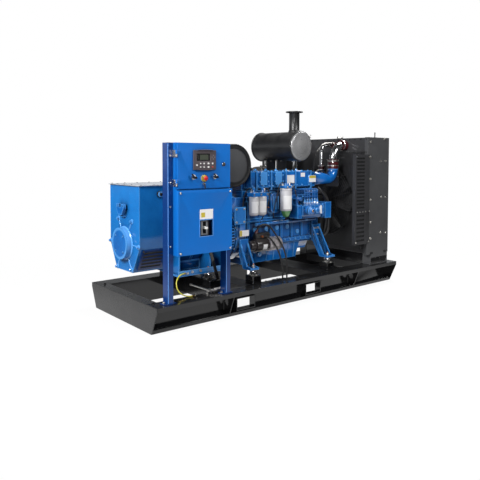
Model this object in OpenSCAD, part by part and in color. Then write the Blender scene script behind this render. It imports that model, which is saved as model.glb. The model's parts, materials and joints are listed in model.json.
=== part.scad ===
// Open-frame diesel generating set on a steel skid.
// +X points along the length to the radiator end, -Y is the side with the control stand, +Z is up.
// The origin is the middle of the anchor bolt pattern, on the floor. All sizes are in millimetres.

/* [Skid] */
// Length of the skid over its end plates
skid_l = 3200; // [3100:10:3500]
// Width of the skid over the top lips of its side rails
skid_w = 1194; // [1160:2:1260]
// Width of the skid at the floor
foot_w = 1020; // [980:2:1060]
// Height of the skid
skid_h = 229; // [200:1:280]
// Thickness of the skid's plates
plate_t = 8; // [6:1:10]
// Width of the top flange of a side rail
rail_flange = 173; // [150:1:190]
// Height of the lip that hangs from the top flange
lip_h = 37; // [25:1:50]
// Height of the lip that stands on the foot flange
foot_lip_h = 29; // [20:1:40]
// Width of the top flange at each end
end_flange = 102; // [80:1:140]
// Length of a fork pocket
pocket_l = 205; // [180:5:240]
// Height of a fork pocket
pocket_h = 100; // [80:5:120]
// Height of a fork pocket's lower edge
pocket_z = 40; // [30:1:60]
// Radius of an anchor bolt hole
anchor_r = 9; // [6:0.5:12]
// Distance between the anchor bolt holes along the length
anchor_pitch_x = 2900; // [2600:10:2960]

/* [Alternator] */
// Height of the crankshaft's centre line
crank_z = 675; // [650:1:720]
// Width of the alternator's rear housing
alt_w = 530; // [480:2:560]
// Height of the alternator's top edge
alt_top_z = 1177; // [1120:1:1240]
// Height of the alternator's underside
alt_foot_z = 434; // [420:1:460]
// Radius of the stator barrel
barrel_r = 250; // [230:1:262]
// Radius of the bearing cap on the rear face
cap_r = 137; // [110:1:150]
// Depth of the bearing cap
cap_d = 50; // [30:1:70]
// Thickness of the lid
lid_t = 8; // [4:1:14]
// How far the lid stands out past the housing
lid_over = 12; // [6:1:20]

/* [Engine] */
// Distance between the centres of neighbouring cylinders
bore_pitch = 150; // [140:1:152]
// Width of the cylinder block
block_w = 390; // [360:2:420]
// Height of the block's top face
deck_z = 1095; // [1060:1:1120]
// Height of a cylinder head
head_h = 105; // [90:1:120]
// Height of a rocker cover
rocker_h = 85; // [70:1:100]
// Height of the sump's lowest face
sump_z = 359; // [340:1:400]
// Height of the intake manifold
manifold_h = 180; // [150:1:200]
// Bend radius of the intake elbow
elbow_bend = 100; // [80:1:120]
// Radius of the intake elbow
elbow_r = 58; // [45:1:65]
// Radius of the big fuel filter
filter_r = 59; // [50:1:68]
// Radius of each small filter
small_filter_r = 40; // [34:1:46]
// Radius of the starter's body
starter_r = 61; // [50:1:68]
// Radius of a mount's cup
cup_r = 36; // [28:1:42]
// Distance of the mounts from the middle of the set
mount_y = 400; // [380:1:420]
// Radius of the fan's blades
fan_r = 380; // [340:5:400]

/* [Radiator] */
// Width of the radiator over its side plates
rad_w = 1090; // [1000:5:1150]
// Depth of the radiator's side plates
rad_d = 387; // [320:1:400]
// Height of the radiator's top edge
rad_top_z = 1650; // [1600:5:1750]
// Height of the side plates' lower edge
rad_low_z = 345; // [320:1:380]
// Height of the header tank
tank_h = 160; // [120:5:200]
// Thickness of the sheet metal
sheet_t = 4; // [3:0.5:6]
// Length of a side guard
guard_l = 245; // [200:5:280]
// Number of slots in the upper guard
slots_up = 15; // [10:1:15]
// Number of slots in the lower guard
slots_low = 7; // [4:1:7]

/* [Air and exhaust] */
// Radius of the silencer
sil_r = 162; // [140:1:175]
// Length of the silencer
sil_l = 614; // [560:2:660]
// Height of the silencer's centre line
sil_z = 1541; // [1500:1:1600]
// Inner radius of the exhaust outlet
outlet_bore_r = 50; // [40:1:54]
// Height of the exhaust outlet's end
outlet_z = 1905; // [1850:5:2000]
// Radius of the air cleaner
air_r = 203; // [180:1:215]
// Length of the air cleaner
air_l = 440; // [380:5:460]

/* [Control stand] */
// Width of a post
post_w = 50; // [40:1:60]
// Depth of a post
post_d = 80; // [60:1:100]
// Width between the posts
bay_w = 540; // [480:2:580]
// Height of the stand
stand_h = 1307; // [1250:1:1360]
// Height of the upper cabinet
upper_h = 376; // [330:2:420]
// Height of the lower cabinet
lower_h = 534; // [480:2:580]
// Depth of the upper cabinet behind its door
upper_d = 190; // [150:5:220]
// Depth of the lower cabinet behind its cover
lower_d = 180; // [150:5:220]
// Thickness of the cabinet door
door_t = 20; // [16:1:24]
// Thickness of the lower cabinet's cover
cover_t = 26; // [20:1:30]

/* [Cables] */
// Radius of a starter cable
cable_r = 8; // [6:0.5:10]
// Radius of the earth lead
earth_r = 5; // [4:0.5:6]

/* [Hidden] */
$fn = 48;
blue = [0.05, 0.33, 0.78];
navy = [0.03, 0.12, 0.5];
black = [0.06, 0.06, 0.07];
grey = [0.35, 0.35, 0.36];
silver = [0.75, 0.75, 0.77];
white = [0.93, 0.93, 0.92];
red = [0.4, 0.05, 0.06];
// Clearance between curved or moving faces that only meet
fit_gap = 0.3;
// Radial clearance of a shaft in its bore
run_gap = 0.05;

// Skid
end_x = skid_l / 2;
half_w = skid_w / 2;
web_y = half_w - rail_flange;
foot_y = foot_w / 2;
rail_l = skid_l - 2 * plate_t;
pocket_xs = [-700, 200];
gusset_xs = [-806, 927];
anchor_y = (web_y + foot_y) / 2;
battery_top_z = 165;
// Rear end of each battery and the place of its posts
battery_xs = [-182, 8];
battery_post_xs = [-13, 45];
battery_l = 180;
member_low_z = pocket_z + pocket_h + plate_t;
// Rear and front of each cross member
member_xs = [[-580, -400], [400, 690], [1180, 1300]];

// Alternator
alt_half = alt_w / 2;
alt_rear_x = -1564;
alt_step_x = -1240;
box_front_x = -1020;
barrel_front_x = -715;
alt_corner_z = 663;
alt_bottom_half = 145;
foot_rail_z = alt_foot_z - 50;
beam_x = [-957, -803];
beam_low_z = 150;
alt_mount_y = 300;
alt_mount_x = (beam_x[0] + beam_x[1]) / 2;
cup_h = 56;
beam_top_z = foot_rail_z - cup_h;

// Engine, from the flywheel end to the belts
bell_x = -504;
block_x = -395;
cylinders = 6;
block_front_x = block_x + cylinders * bore_pitch + 70;
tube_r = 17;
tube_z = 760;
case_front_x = block_front_x + 90;
block_half = block_w / 2;
pan_z = 545;
head_top_z = deck_z + head_h;
rocker_top_z = head_top_z + rocker_h;
first_head_x = block_x + 35;
head_gap = 8;
head_near_y = -140;
head_far_y = 150;
manifold_y = -232;
manifold_z = rocker_top_z - manifold_h - 5;
manifold_x = [-316, 711];
elbow_y = -215;
elbow_x = manifold_x[1] + 105 + elbow_bend;
elbow_z = manifold_z + manifold_h / 2;
elbow_top_z = elbow_z + elbow_bend;
pipe_bend = 90;
shield_x = elbow_x + elbow_r + 4 + fit_gap;
bell_r = 262;
small_filter_xs = [-364, -251];
filter_y = -330;
small_head_z = deck_z - 49;
big_head_z = manifold_z + 16;
pump_z = 860;
big_filter_x = 70;
pump_y = -330;
starter_y = -300;
starter_z = 565;
solenoid_y = -290;
// Upright stud of the first starter cable, with its tilt, and the terminal block of the second
stud_top = [-290, solenoid_y, 698];
stud_tilt = 31;
terminal_x = -250;
terminal_y = -338;
terminal_z = 652;
// Ends of the earth lead, on the alternator's foot and on the rail
earth_foot_x = -1160;
earth_foot_z = 412;
earth_rail_x = -1150;
earth_rail_y = -455;
fan_rise = 260;
fan_z = crank_z + fan_rise;
gen_y = 300;
gen_z = crank_z + 345;
rear_mount_x = -424;
front_mount_x = 657;
bracket_h = 80;
pad_z = skid_h + bracket_h + cup_h;
pad_t = 20;
foot_top_z = pan_z + 155;

// Radiator
rad_x = elbow_x + pipe_bend + 107;
rad_back_x = rad_x + rad_d;
rad_half = rad_w / 2;
flange_w = 45;
fan_x = rad_x - 93;
fan_t = 50;
ring_x = rad_x - 60;
core_x = [rad_x + 70, rad_x + 300];
low_tank_h = 70;
guard_x = rad_x - guard_l + 30;
guard_low_z = 475;
guard_top_z = 1459;
guard_seam_z = 835;

// Air and exhaust
sil_x = 316;
sil_near_y = -300;
sil_far_y = sil_near_y + sil_l;
outlet_y = -197;
neck_y = 240;
neck_r = 43;
neck_z = 1318;
turbo_z = neck_z - 64;
runner_z = head_top_z - 62;
scroll_x = sil_x - 139;
scroll_out_z = turbo_z - 26;
far_pipe_r = 34;
far_pipe_y = 365;
far_bend = 55;
charge_r = 48;
tank_inlet_z = rad_top_z - tank_h / 2 - 5;
coolant_r = 23;
coolant_x = 877;
coolant_y = -80;
coolant_z = rad_top_z - 80;
thermostat_z = head_top_z + 80;
outlet_flange_r = 90;
air_x = -570;
air_z = 1345;
air_near_y = -300;

// Control stand
post_front_y = -560;
bay_x = -1422;
stand_top_z = skid_h + stand_h;
upper_z = stand_top_z - upper_h;
lower_z = upper_z - lower_h;
door_front_y = -622;
door_back_y = door_front_y + door_t;
door_w = bay_w - 8;
hinge_r = 5;
hinge_x = bay_x - hinge_r - 3;
hinge_y = door_front_y - 2;
hinge_zs = [stand_top_z - 88, stand_top_z - 322];
cover_front_y = -640;
cover_back_y = cover_front_y + cover_t;
ctrl_x = bay_x + 263;
ctrl_z = stand_top_z - 139;
ctrl_w = 224;
ctrl_h = 160;
key_z = ctrl_z - 140;
key_xs = [ctrl_x - 109, ctrl_x + 109];
stop_x = ctrl_x;
stop_z = ctrl_z - 150;
knob_shaft_r = 8;
stop_travel = 6;
window_x = [bay_x + 208, bay_x + 337];
window_z = [lower_z + 145, lower_z + 277];
breaker_x = bay_x + 272;
breaker_z = lower_z + 211;
breaker_front_y = cover_back_y + 4;
lever_pivot_y = breaker_front_y + 32;
pin_r = 4;

module block(lo, hi) {
    translate(lo) cube(hi - lo);
}

module rod_x(r, x0, x1, y, z) {
    translate([x0, y, z]) rotate([0, 90, 0]) cylinder(r = r, h = x1 - x0);
}

module rod_y(r, y0, y1, x, z) {
    translate([x, y0, z]) rotate([-90, 0, 0]) cylinder(r = r, h = y1 - y0);
}

module rod_z(r, z0, z1, x, y) {
    translate([x, y, z0]) cylinder(r = r, h = z1 - z0);
}

// A profile drawn in Y and Z, carried along X
module along_x(x0, x1) {
    translate([x0, 0, 0]) rotate([90, 0, 90]) linear_extrude(height = x1 - x0) children();
}

module mirror_y() {
    children();
    mirror([0, 1, 0]) children();
}

// A tube swept through points: smooth_route adds points on a curve through the given ones
function spline(a, b, c, d, t) = 0.5 * ((2 * b) + (c - a) * t + (2 * a - 5 * b + 4 * c - d) * t * t
    + (3 * b - a - 3 * c + d) * t * t * t);
function clamp_i(i, n) = min(max(i, 0), n - 1);
function smooth_route(p, k) = concat([for (i = [0:len(p) - 2], j = [0:k - 1])
    spline(p[clamp_i(i - 1, len(p))], p[i], p[i + 1], p[clamp_i(i + 2, len(p))], j / k)], [p[len(p) - 1]]);
function unit(v) = v / norm(v);
function heading(p, i) = unit(p[clamp_i(i + 1, len(p))] - p[clamp_i(i - 1, len(p))]);

module tube_along(points, r, side, sides = 10) {
    n = len(points);
    rings = [for (i = [0:n - 1]) let (t = heading(points, i), u = unit(cross(t, side)), w = cross(t, u))
        for (a = [0:sides - 1]) points[i] + r * (cos(a * 360 / sides) * u + sin(a * 360 / sides) * w)];
    walls = [for (i = [0:n - 2], a = [0:sides - 1]) let (b = (a + 1) % sides)
        [i * sides + a, (i + 1) * sides + a, (i + 1) * sides + b, i * sides + b]];
    polyhedron(rings, concat([[for (a = [0:sides - 1]) a]], walls,
        [[for (a = [sides - 1:-1:0]) (n - 1) * sides + a]]), convexity = 6);
}

module rail_profile() {
    translate([-web_y - plate_t, 0]) square([plate_t, skid_h]);
    translate([-half_w, skid_h - plate_t]) square([rail_flange, plate_t]);
    translate([-half_w, skid_h - lip_h]) square([plate_t, lip_h]);
    translate([-foot_y, 0]) square([foot_y - web_y, plate_t]);
    translate([-foot_y, 0]) square([plate_t, foot_lip_h]);
}

module gusset_profile() {
    difference() {
        polygon([[-web_y - plate_t / 2, plate_t / 2], [-foot_y + plate_t / 2, plate_t / 2],
            [-half_w + plate_t / 2, skid_h - plate_t / 2], [-web_y - plate_t / 2, skid_h - plate_t / 2]]);
        translate([-(web_y + foot_y) / 2 - 12, skid_h * 0.55]) circle(r = 30);
    }
}

module side_rail() {
    color(black) difference() {
        union() {
            along_x(-rail_l / 2, rail_l / 2) rail_profile();
            for (x = gusset_xs) along_x(x, x + plate_t) gusset_profile();
            for (x = pocket_xs) {
                block([x - plate_t, -foot_y + 12, pocket_z - plate_t],
                    [x + pocket_l + plate_t, -web_y - 2, pocket_z + pocket_h + plate_t]);
            }
        }
        for (x = pocket_xs) {
            block([x, -foot_y - 5, pocket_z], [x + pocket_l, -web_y + 5, pocket_z + pocket_h]);
        }
        for (x = [-anchor_pitch_x / 2, anchor_pitch_x / 2]) {
            rod_z(anchor_r, -1, plate_t + 1, x, -anchor_y);
        }
        rod_y(12, -web_y - plate_t - 1, -web_y + 1, -end_x + 75, 60);
    }
}

module near_rail() {
    side_rail();
    // Lug of the earth lead, on the top flange
    color(black) block([earth_rail_x, earth_rail_y - 8, skid_h - 1],
        [earth_rail_x + 40, earth_rail_y + 8, skid_h + 14]);
}

module far_rail() {
    mirror([0, 1, 0]) side_rail();
}

module end_plate_profile() {
    polygon([[-foot_y, 0], [foot_y, 0], [half_w, skid_h - lip_h], [half_w, skid_h],
        [-half_w, skid_h], [-half_w, skid_h - lip_h]]);
}

module rear_end_plate() {
    color(black) {
        along_x(-end_x, -end_x + plate_t) end_plate_profile();
        block([-end_x + plate_t / 2, -web_y, skid_h - plate_t], [-end_x + end_flange, web_y, skid_h]);
        block([-end_x + end_flange - plate_t, -web_y, skid_h - lip_h],
            [-end_x + end_flange, web_y, skid_h - plate_t / 2]);
        block([-end_x + plate_t / 2, -web_y, 0], [-end_x + end_flange, web_y, plate_t]);
    }
}

module front_end_plate() {
    mirror([1, 0, 0]) rear_end_plate();
}

module cross_members() {
    color(black) for (m = member_xs) {
        difference() {
            block([m[0], -web_y, member_low_z], [m[1], web_y, skid_h]);
            block([m[0] + plate_t, -web_y - 1, member_low_z - 1],
                [m[1] - plate_t, web_y + 1, skid_h - plate_t]);
        }
    }
}

module mount_bracket(x) {
    w = 56;
    difference() {
        block([x - w, -mount_y - 50, skid_h], [x + w, -mount_y + 50, skid_h + bracket_h]);
        block([x - w + plate_t, -mount_y - 51, skid_h + plate_t],
            [x + w - plate_t, -mount_y + 51, skid_h + bracket_h - plate_t]);
    }
}

// Stay from the lower cabinet down to the alternator's beam
module cabinet_stay() {
    a = [bay_x + 370, post_front_y + 20, lower_z];
    b = [beam_x[0] + 90, -web_y + 10, beam_top_z];
    d = [[0, 0, 0], [30, 0, 0], [30, 12, 0], [0, 12, 0]];
    polyhedron(concat([for (k = d) b + k], [for (k = d) a + k]),
        [[0, 1, 2, 3], [4, 7, 6, 5], [0, 4, 5, 1], [1, 5, 6, 2], [2, 6, 7, 3], [3, 7, 4, 0]]);
}

module mount_brackets() {
    color(black) {
        mirror_y() for (x = [rear_mount_x, front_mount_x - 30]) mount_bracket(x);
        difference() {
            block([beam_x[0], -web_y, beam_low_z], [beam_x[1], web_y, beam_top_z]);
            block([beam_x[0] + plate_t, -web_y - 1, beam_low_z - 1],
                [beam_x[1] - plate_t, web_y + 1, beam_top_z - plate_t]);
        }
        cabinet_stay();
    }
}

// A rubber mount: base plate, rubber cone, metal cup and stud with a nut
module rubber_mount(x, y, z0, z1) {
    block([x - 48, y - 32, z0], [x + 48, y + 32, z0 + 6]);
    translate([x, y, z0 + 5]) cylinder(r1 = cup_r + 4, r2 = cup_r - 8, h = z1 - z0 - 15);
    rod_z(cup_r, z1 - 24, z1, x, y);
}

module rubber_mounts() {
    color(silver) mirror_y() {
        rubber_mount(rear_mount_x, -mount_y, skid_h + bracket_h, pad_z);
        rubber_mount(front_mount_x - 30, -mount_y, skid_h + bracket_h, pad_z);
        rubber_mount(alt_mount_x, -alt_mount_y, beam_top_z, foot_rail_z);
    }
}

module battery_tray() {
    x0 = battery_xs[0] - 10;
    x1 = battery_xs[1] + battery_l + 10;
    color(black) difference() {
        block([x0, -web_y, 12], [x1, -190, 50]);
        block([x0 + 6, -web_y + 6, 18], [x1 - 6, -196, 51]);
    }
}

module batteries() {
    color(grey) for (i = [0, 1]) {
        block([battery_xs[i], -web_y + 10, 18], [battery_xs[i] + battery_l, -200, battery_top_z]);
        for (y = [-web_y + 50, -240]) rod_z(9, battery_top_z - 1, battery_top_z + 17, battery_post_xs[i], y);
    }
}

module alternator_section() {
    polygon([[-alt_half, alt_corner_z], [-alt_bottom_half, alt_foot_z], [alt_bottom_half, alt_foot_z],
        [alt_half, alt_corner_z], [alt_half, alt_top_z], [-alt_half, alt_top_z]]);
}

module alternator_housing() {
    color(blue) {
        difference() {
            union() {
                along_x(alt_rear_x, alt_step_x) alternator_section();
                rod_x(barrel_r, alt_step_x - 1, barrel_front_x, 0, crank_z);
                block([alt_step_x - 1, -alt_half + 30, crank_z + 100],
                    [box_front_x, alt_half - 30, alt_top_z]);
                // Feet rails along the barrel
                mirror_y() {
                    block([alt_step_x + 10, -alt_mount_y - 45, foot_rail_z],
                        [barrel_front_x - 10, -alt_bottom_half, foot_rail_z + 16]);
                    block([alt_step_x + 10, -alt_mount_y - 45, foot_rail_z],
                        [barrel_front_x - 10, -alt_mount_y - 37, foot_rail_z + 50]);
                    for (x = [alt_step_x + 30, alt_mount_x, barrel_front_x - 40]) {
                        block([x, -alt_mount_y - 20, foot_rail_z + 15], [x + 12, -150, crank_z - 90]);
                    }
                }
            }
            for (s = [-1, 1]) rod_z(9, foot_rail_z - 1, foot_rail_z + 17, alt_mount_x - 40, s * alt_mount_y);
        }
        // Lug of the earth lead, on the near foot's upright edge
        block([earth_foot_x, -alt_mount_y - 57, earth_foot_z - 10],
            [earth_foot_x + 24, -alt_mount_y - 44, earth_foot_z + 10]);
        // Cable gland high on the near side
        rod_y(24, -alt_half - 28, -alt_half, alt_rear_x + 194, alt_top_z - 72);
    }
}

module alternator_lid() {
    color(white) block([alt_rear_x - lid_over, -alt_half - lid_over, alt_top_z],
        [box_front_x + lid_over, alt_half + lid_over, alt_top_z + lid_t]);
}

module bearing_cap() {
    color(blue) {
        rod_x(cap_r, alt_rear_x - cap_d, alt_rear_x, 0, crank_z);
        for (a = [45, 135, 225, 315]) {
            rod_x(8, alt_rear_x - cap_d - 6, alt_rear_x - cap_d + 1, 0.68 * cap_r * cos(a),
                crank_z + 0.68 * cap_r * sin(a));
        }
        // Lifting lug with two eyes, above the cap
        translate([0, 0, alt_top_z - 177]) difference() {
            union() {
                along_x(alt_rear_x - 44, alt_rear_x - 20) polygon([[-32, -75], [32, -75], [70, -15],
                    [58, 20], [28, 20], [14, -10], [-14, -10], [-28, 20], [-58, 20], [-70, -15]]);
                block([alt_rear_x - 22, -30, -95], [alt_rear_x, 30, -10]);
            }
            for (y = [-46, 46]) rod_x(8, alt_rear_x - 45, alt_rear_x - 19, y, 0);
        }
    }
}

module chamfer_frame() {
    // Places a grille on the near chamfer: local X along the set, local Y up the slope, Z outwards
    slope = atan2(alt_corner_z - alt_foot_z, alt_half - alt_bottom_half);
    translate([alt_rear_x + 30, -alt_bottom_half, alt_foot_z]) rotate([180 - slope, 0, 0]) children();
}

module alternator_grilles() {
    grille_l = 240;
    grille_w = 200;
    color(navy) mirror_y() chamfer_frame() difference() {
        translate([0, 30, 0]) cube([grille_l, grille_w, 12]);
        for (i = [0:4]) {
            translate([22, 50 + i * 35, 4]) cube([grille_l - 44, 20, 9]);
        }
    }
}

module coupling_guard() {
    color(blue) difference() {
        union() {
            rod_x(bell_r, barrel_front_x, bell_x, 0, crank_z);
            rod_x(bell_r + 14, bell_x - 22, bell_x, 0, crank_z);
            rod_x(bell_r + 8, barrel_front_x, barrel_front_x + 16, 0, crank_z);
        }
        for (i = [0:9]) {
            z = crank_z - 175 + i * 28;
            for (s = [-1, 1]) {
                block([bell_x - 96, min(s * 150, s * 300), z], [bell_x - 36, max(s * 150, s * 300), z + 14]);
            }
        }
    }
}

module flywheel_housing() {
    color(blue) {
        difference() {
            union() {
                rod_x(bell_r + 14, bell_x, bell_x + 60, 0, crank_z);
                rod_x(bell_r - 10, bell_x + 59, block_x, 0, crank_z);
                block([bell_x + 10, -215, crank_z], [block_x, 215, deck_z - 60]);
            }
            rod_x(40, bell_x - 1, bell_x + 10, 0, crank_z);
        }
        // Upright bracket plate on the near shoulder
        difference() {
            block([-580, -312, 788], [-446, -300, 951]);
            for (x = [-560, -466], z = [808, 931]) rod_y(7, -313, -299, x, z);
        }
        block([bell_x, -301, 700], [bell_x + 60, -200, 800]);
    }
}

module cylinder_block() {
    wall_y = -block_half + 1;
    rail_y = -block_half - 45;
    color(blue) {
        block([block_x, -block_half, pan_z], [block_front_x, block_half, deck_z]);
        // Widened crankcase skirt and the long water rail
        block([block_x, -block_half - 18, pan_z], [block_front_x, block_half + 18, pan_z + 40]);
        block([block_x + 30, -block_half - 35, deck_z - 110],
            [block_front_x - 40, wall_y, deck_z - 60]);
        for (i = [0:cylinders - 1]) {
            x = block_x + 60 + i * bore_pitch;
            block([x, -block_half - 12, pan_z + 39], [x + 30, wall_y, deck_z - 109]);
        }
        // Long tube on the near side with its three holders
        rod_x(tube_r, block_x + 140, block_front_x + 25, rail_y, tube_z);
        for (x = [-200, 250, 560]) block([x, rail_y, tube_z - 8], [x + 14, wall_y, tube_z + 8]);
    }
}

// A deep part below most of the engine and a shallow part at the front
module oil_sump() {
    deep_x = block_front_x - 145;
    shallow_z = sump_z + 86;
    color(blue) {
        block([block_x, -block_half + 10, pan_z - 22], [block_front_x, block_half - 10, pan_z]);
        hull() {
            block([block_x + 8, -170, pan_z - 23], [deep_x, 170, pan_z - 22]);
            block([block_x + 25, -150, sump_z], [deep_x - 40, 150, sump_z + 1]);
        }
        hull() {
            block([deep_x - 1, -165, pan_z - 23], [block_front_x - 8, 165, pan_z - 22]);
            block([deep_x - 1, -150, shallow_z], [block_front_x - 40, 150, shallow_z + 1]);
        }
        for (x = [block_x + 125, block_x + 245]) rod_y(24, -182, -140, x, shallow_z);
    }
}

module timing_case() {
    color(blue) {
        block([block_front_x, -block_half - 25, pan_z - 22], [case_front_x, block_half + 25, deck_z - 20]);
        block([block_front_x, pump_y - 80, pump_z - 75], [case_front_x, -block_half - 24, pump_z + 95]);
        block([block_front_x + 10, -110, deck_z - 21], [case_front_x + 30, 60, head_top_z + 60]);
        rod_x(75, case_front_x - 1, case_front_x + 30, 0, fan_z);
        // Thermostat housing and its outlet elbow
        rod_x(34, case_front_x + 29, coolant_x - 50, coolant_y, thermostat_z - 60);
        bend_up(34, 50, coolant_x - 50, coolant_y, thermostat_z - 60);
        rod_z(34, thermostat_z - 10, thermostat_z, coolant_x, coolant_y);
    }
}

module cylinder_heads() {
    color(blue) for (i = [0:cylinders - 1]) {
        x = first_head_x + i * bore_pitch;
        block([x, head_near_y, deck_z], [x + bore_pitch - head_gap, head_far_y, head_top_z]);
    }
}

module rocker_covers() {
    color(blue) for (i = [0:cylinders - 1]) {
        x = first_head_x + i * bore_pitch;
        hull() {
            block([x + 6, head_near_y + 4, head_top_z],
                [x + bore_pitch - 14, head_far_y - 20, head_top_z + 50]);
            block([x + 20, head_near_y + 16, rocker_top_z - 1],
                [x + bore_pitch - 28, head_far_y - 34, rocker_top_z]);
        }
    }
}

module intake_manifold() {
    z0 = manifold_z;
    z1 = manifold_z + manifold_h;
    x0 = manifold_x[0];
    x1 = manifold_x[1];
    color(blue) {
        block([x0 + 30, manifold_y + 12, z0 + 14], [x1 - 100, head_near_y - 1, z1 - 8]);
        // Cast segments with their flanges
        for (s = [[x0, 62], [x0 + 78, 185], [x0 + 280, 190], [x0 + 490, 120], [x0 + 625, 215]]) {
            block([s[0], manifold_y, z0 + 22], [s[0] + s[1], head_near_y - 1, z1]);
        }
        for (x = [x0 + 62, x0 + 262, x0 + 469, x0 + 609, x0 + 839]) {
            block([x, manifold_y - 12, z0], [x + 16, head_near_y - 1, z1 + 6]);
        }
        for (i = [0:cylinders - 1]) {
            x = first_head_x + i * bore_pitch + 40;
            block([x, head_near_y - 2, deck_z + 20], [x + 60, head_near_y, head_top_z - 10]);
        }
        // Neck that narrows to the elbow, the elbow and its bead
        hull() {
            block([x1 - 102, manifold_y + 4, z0 + 30], [x1 - 100, head_near_y - 4, z1 - 12]);
            rod_x(elbow_r, x1 + 103, x1 + 105, elbow_y, elbow_z, $fn = 32);
        }
        bend_up(elbow_r, elbow_bend, x1 + 105, elbow_y, elbow_z);
        rod_z(elbow_r + 4, elbow_top_z - 1, elbow_top_z + 10, elbow_x, elbow_y);
    }
}

module exhaust_manifold() {
    color(grey) {
        rod_x(40, block_x + 60, block_front_x - 60, neck_y + 5, runner_z);
        for (i = [0:cylinders - 1]) {
            x = first_head_x + i * bore_pitch + (bore_pitch - head_gap) / 2;
            rod_y(28, head_far_y + 14, neck_y, x, runner_z);
            block([x - 40, head_far_y, runner_z - 38], [x + 40, head_far_y + 15, runner_z + 38]);
        }
        block([sil_x - 45, neck_y - 36, runner_z + 20], [sil_x + 45, neck_y + 40, turbo_z - 66]);
    }
}

module turbocharger() {
    z = turbo_z;
    color(grey) {
        rod_x(60, sil_x - 45, sil_x + 45, neck_y, z);
        block([sil_x - 45, neck_y - 36, z - 66], [sil_x + 45, neck_y + 40, z - 40]);
        rod_z(neck_r, z, neck_z, sil_x, neck_y);
        rod_z(70, neck_z - 14, neck_z, sil_x, neck_y);
        rod_x(34, sil_x - 110, sil_x - 44, neck_y, z);
        rod_x(66, sil_x - 170, sil_x - 108, neck_y, z);
        rod_x(48, sil_x - 200, sil_x - 169, neck_y, z);
        // Compressor outlet, tangent to its scroll
        rod_y(far_pipe_r, neck_y, far_pipe_y - far_bend - fit_gap, scroll_x, scroll_out_z);
    }
}

intake_pts = [[air_x, air_near_y + air_l, air_z], [air_x, air_near_y + air_l + 20, air_z],
    [air_x, 195, air_z], [air_x + 12, 240, air_z - 4], [air_x + 62, 268, air_z - 14],
    [air_x + 190, 266, air_z - 38], [-150, 250, 1292], [10, neck_y + 2, turbo_z + 10],
    [sil_x - 242, neck_y, turbo_z], [sil_x - 222, neck_y, turbo_z], [sil_x - 200.5, neck_y, turbo_z]];

module intake_pipe() {
    color(black) tube_along(smooth_route(intake_pts, 5), 50, [0, 0.1, 1], 16);
}

module injection_pump() {
    color(blue) {
        block([240, pump_y - 70, pump_z - 30], [560, pump_y + 68, pump_z + 70]);
        rod_x(62, 245, 555, pump_y, pump_z - 10);
        rod_x(72, 545, block_front_x, pump_y, pump_z);
        block([545, pump_y - 70, pump_z - 60], [block_front_x, pump_y + 68, pump_z + 80]);
        block([250, pump_y + 67, pump_z - 60], [540, -block_half - 12, pump_z - 20]);
        // Governor at the rear end and the round feed pump on the side
        block([180, pump_y - 60, pump_z - 60], [241, pump_y + 55, pump_z + 80]);
        rod_y(42, pump_y - 110, pump_y - 59, 300, pump_z + 20);
        rod_y(26, pump_y - 132, pump_y - 109, 300, pump_z + 20);
    }
}

// Each line rises from the pump and turns in to the block
module injection_lines() {
    line_r = 4;
    bend = 30;
    line_top_z = deck_z - 35;
    color(silver) for (i = [0:cylinders - 1]) {
        x = 345 + i * 38;
        rod_z(9, pump_z + 70, pump_z + 92, x, pump_y);
        rod_z(line_r, pump_z + 91, line_top_z, x, pump_y);
        translate([x, pump_y + bend, line_top_z]) rotate([90, 0, -90]) rotate_extrude(angle = 90)
            translate([bend, 0]) circle(r = line_r);
        rod_y(line_r, pump_y + bend, -block_half, x, line_top_z + bend);
    }
}

// A canister filter with a head cap; a bowl hangs below the big one
module canister(r, x, y, z0, z1) {
    rod_z(r - 3, z0 + 8, z1, x, y);
    rod_z(r, z0 + 14, z1 - 14, x, y);
    translate([x, y, z0]) cylinder(r1 = r * 0.7, r2 = r - 3, h = 8);
}

module fuel_filters() {
    color(white) {
        for (x = small_filter_xs) canister(small_filter_r, x, filter_y, small_head_z - 188, small_head_z);
        canister(filter_r, big_filter_x, filter_y, big_head_z - 236, big_head_z);
        translate([big_filter_x, filter_y, big_head_z - 316]) cylinder(r1 = 28, r2 = filter_r - 8, h = 82);
    }
    color(blue) {
        block([small_filter_xs[0] - 46, filter_y - 45, small_head_z],
            [small_filter_xs[1] + 46, filter_y + 50, small_head_z + 39]);
        block([-330, filter_y + 49, small_head_z + 4], [-285, -block_half, small_head_z + 34]);
        block([big_filter_x - filter_r, filter_y - 56, big_head_z],
            [big_filter_x + filter_r, filter_y + 56, big_head_z + 24]);
        block([big_filter_x - 30, filter_y + 55, manifold_z + 22],
            [big_filter_x + 30, manifold_y, big_head_z + 24]);
    }
}

module starter_motor() {
    solenoid_z = starter_z + starter_r + 26;
    color(black) {
        rod_x(starter_r, -330, -165, starter_y, starter_z);
        rod_x(starter_r + 8, -166, 5, starter_y, starter_z);
        rod_x(starter_r - 14, block_x + 0.5, -329, starter_y, starter_z);
        rod_x(32, -320, -130, solenoid_y, solenoid_z);
        block([-300, starter_y - 12, starter_z + starter_r - 6],
            [-200, starter_y + 20, starter_z + starter_r + 10]);
        translate(stud_top) rotate([0, stud_tilt, 0]) translate([0, 0, -34]) cylinder(r = 6, h = 34);
        block([terminal_x - 16, terminal_y - 9, terminal_z - 9],
            [terminal_x, solenoid_y - 26, terminal_z + 9]);
    }
}

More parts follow.
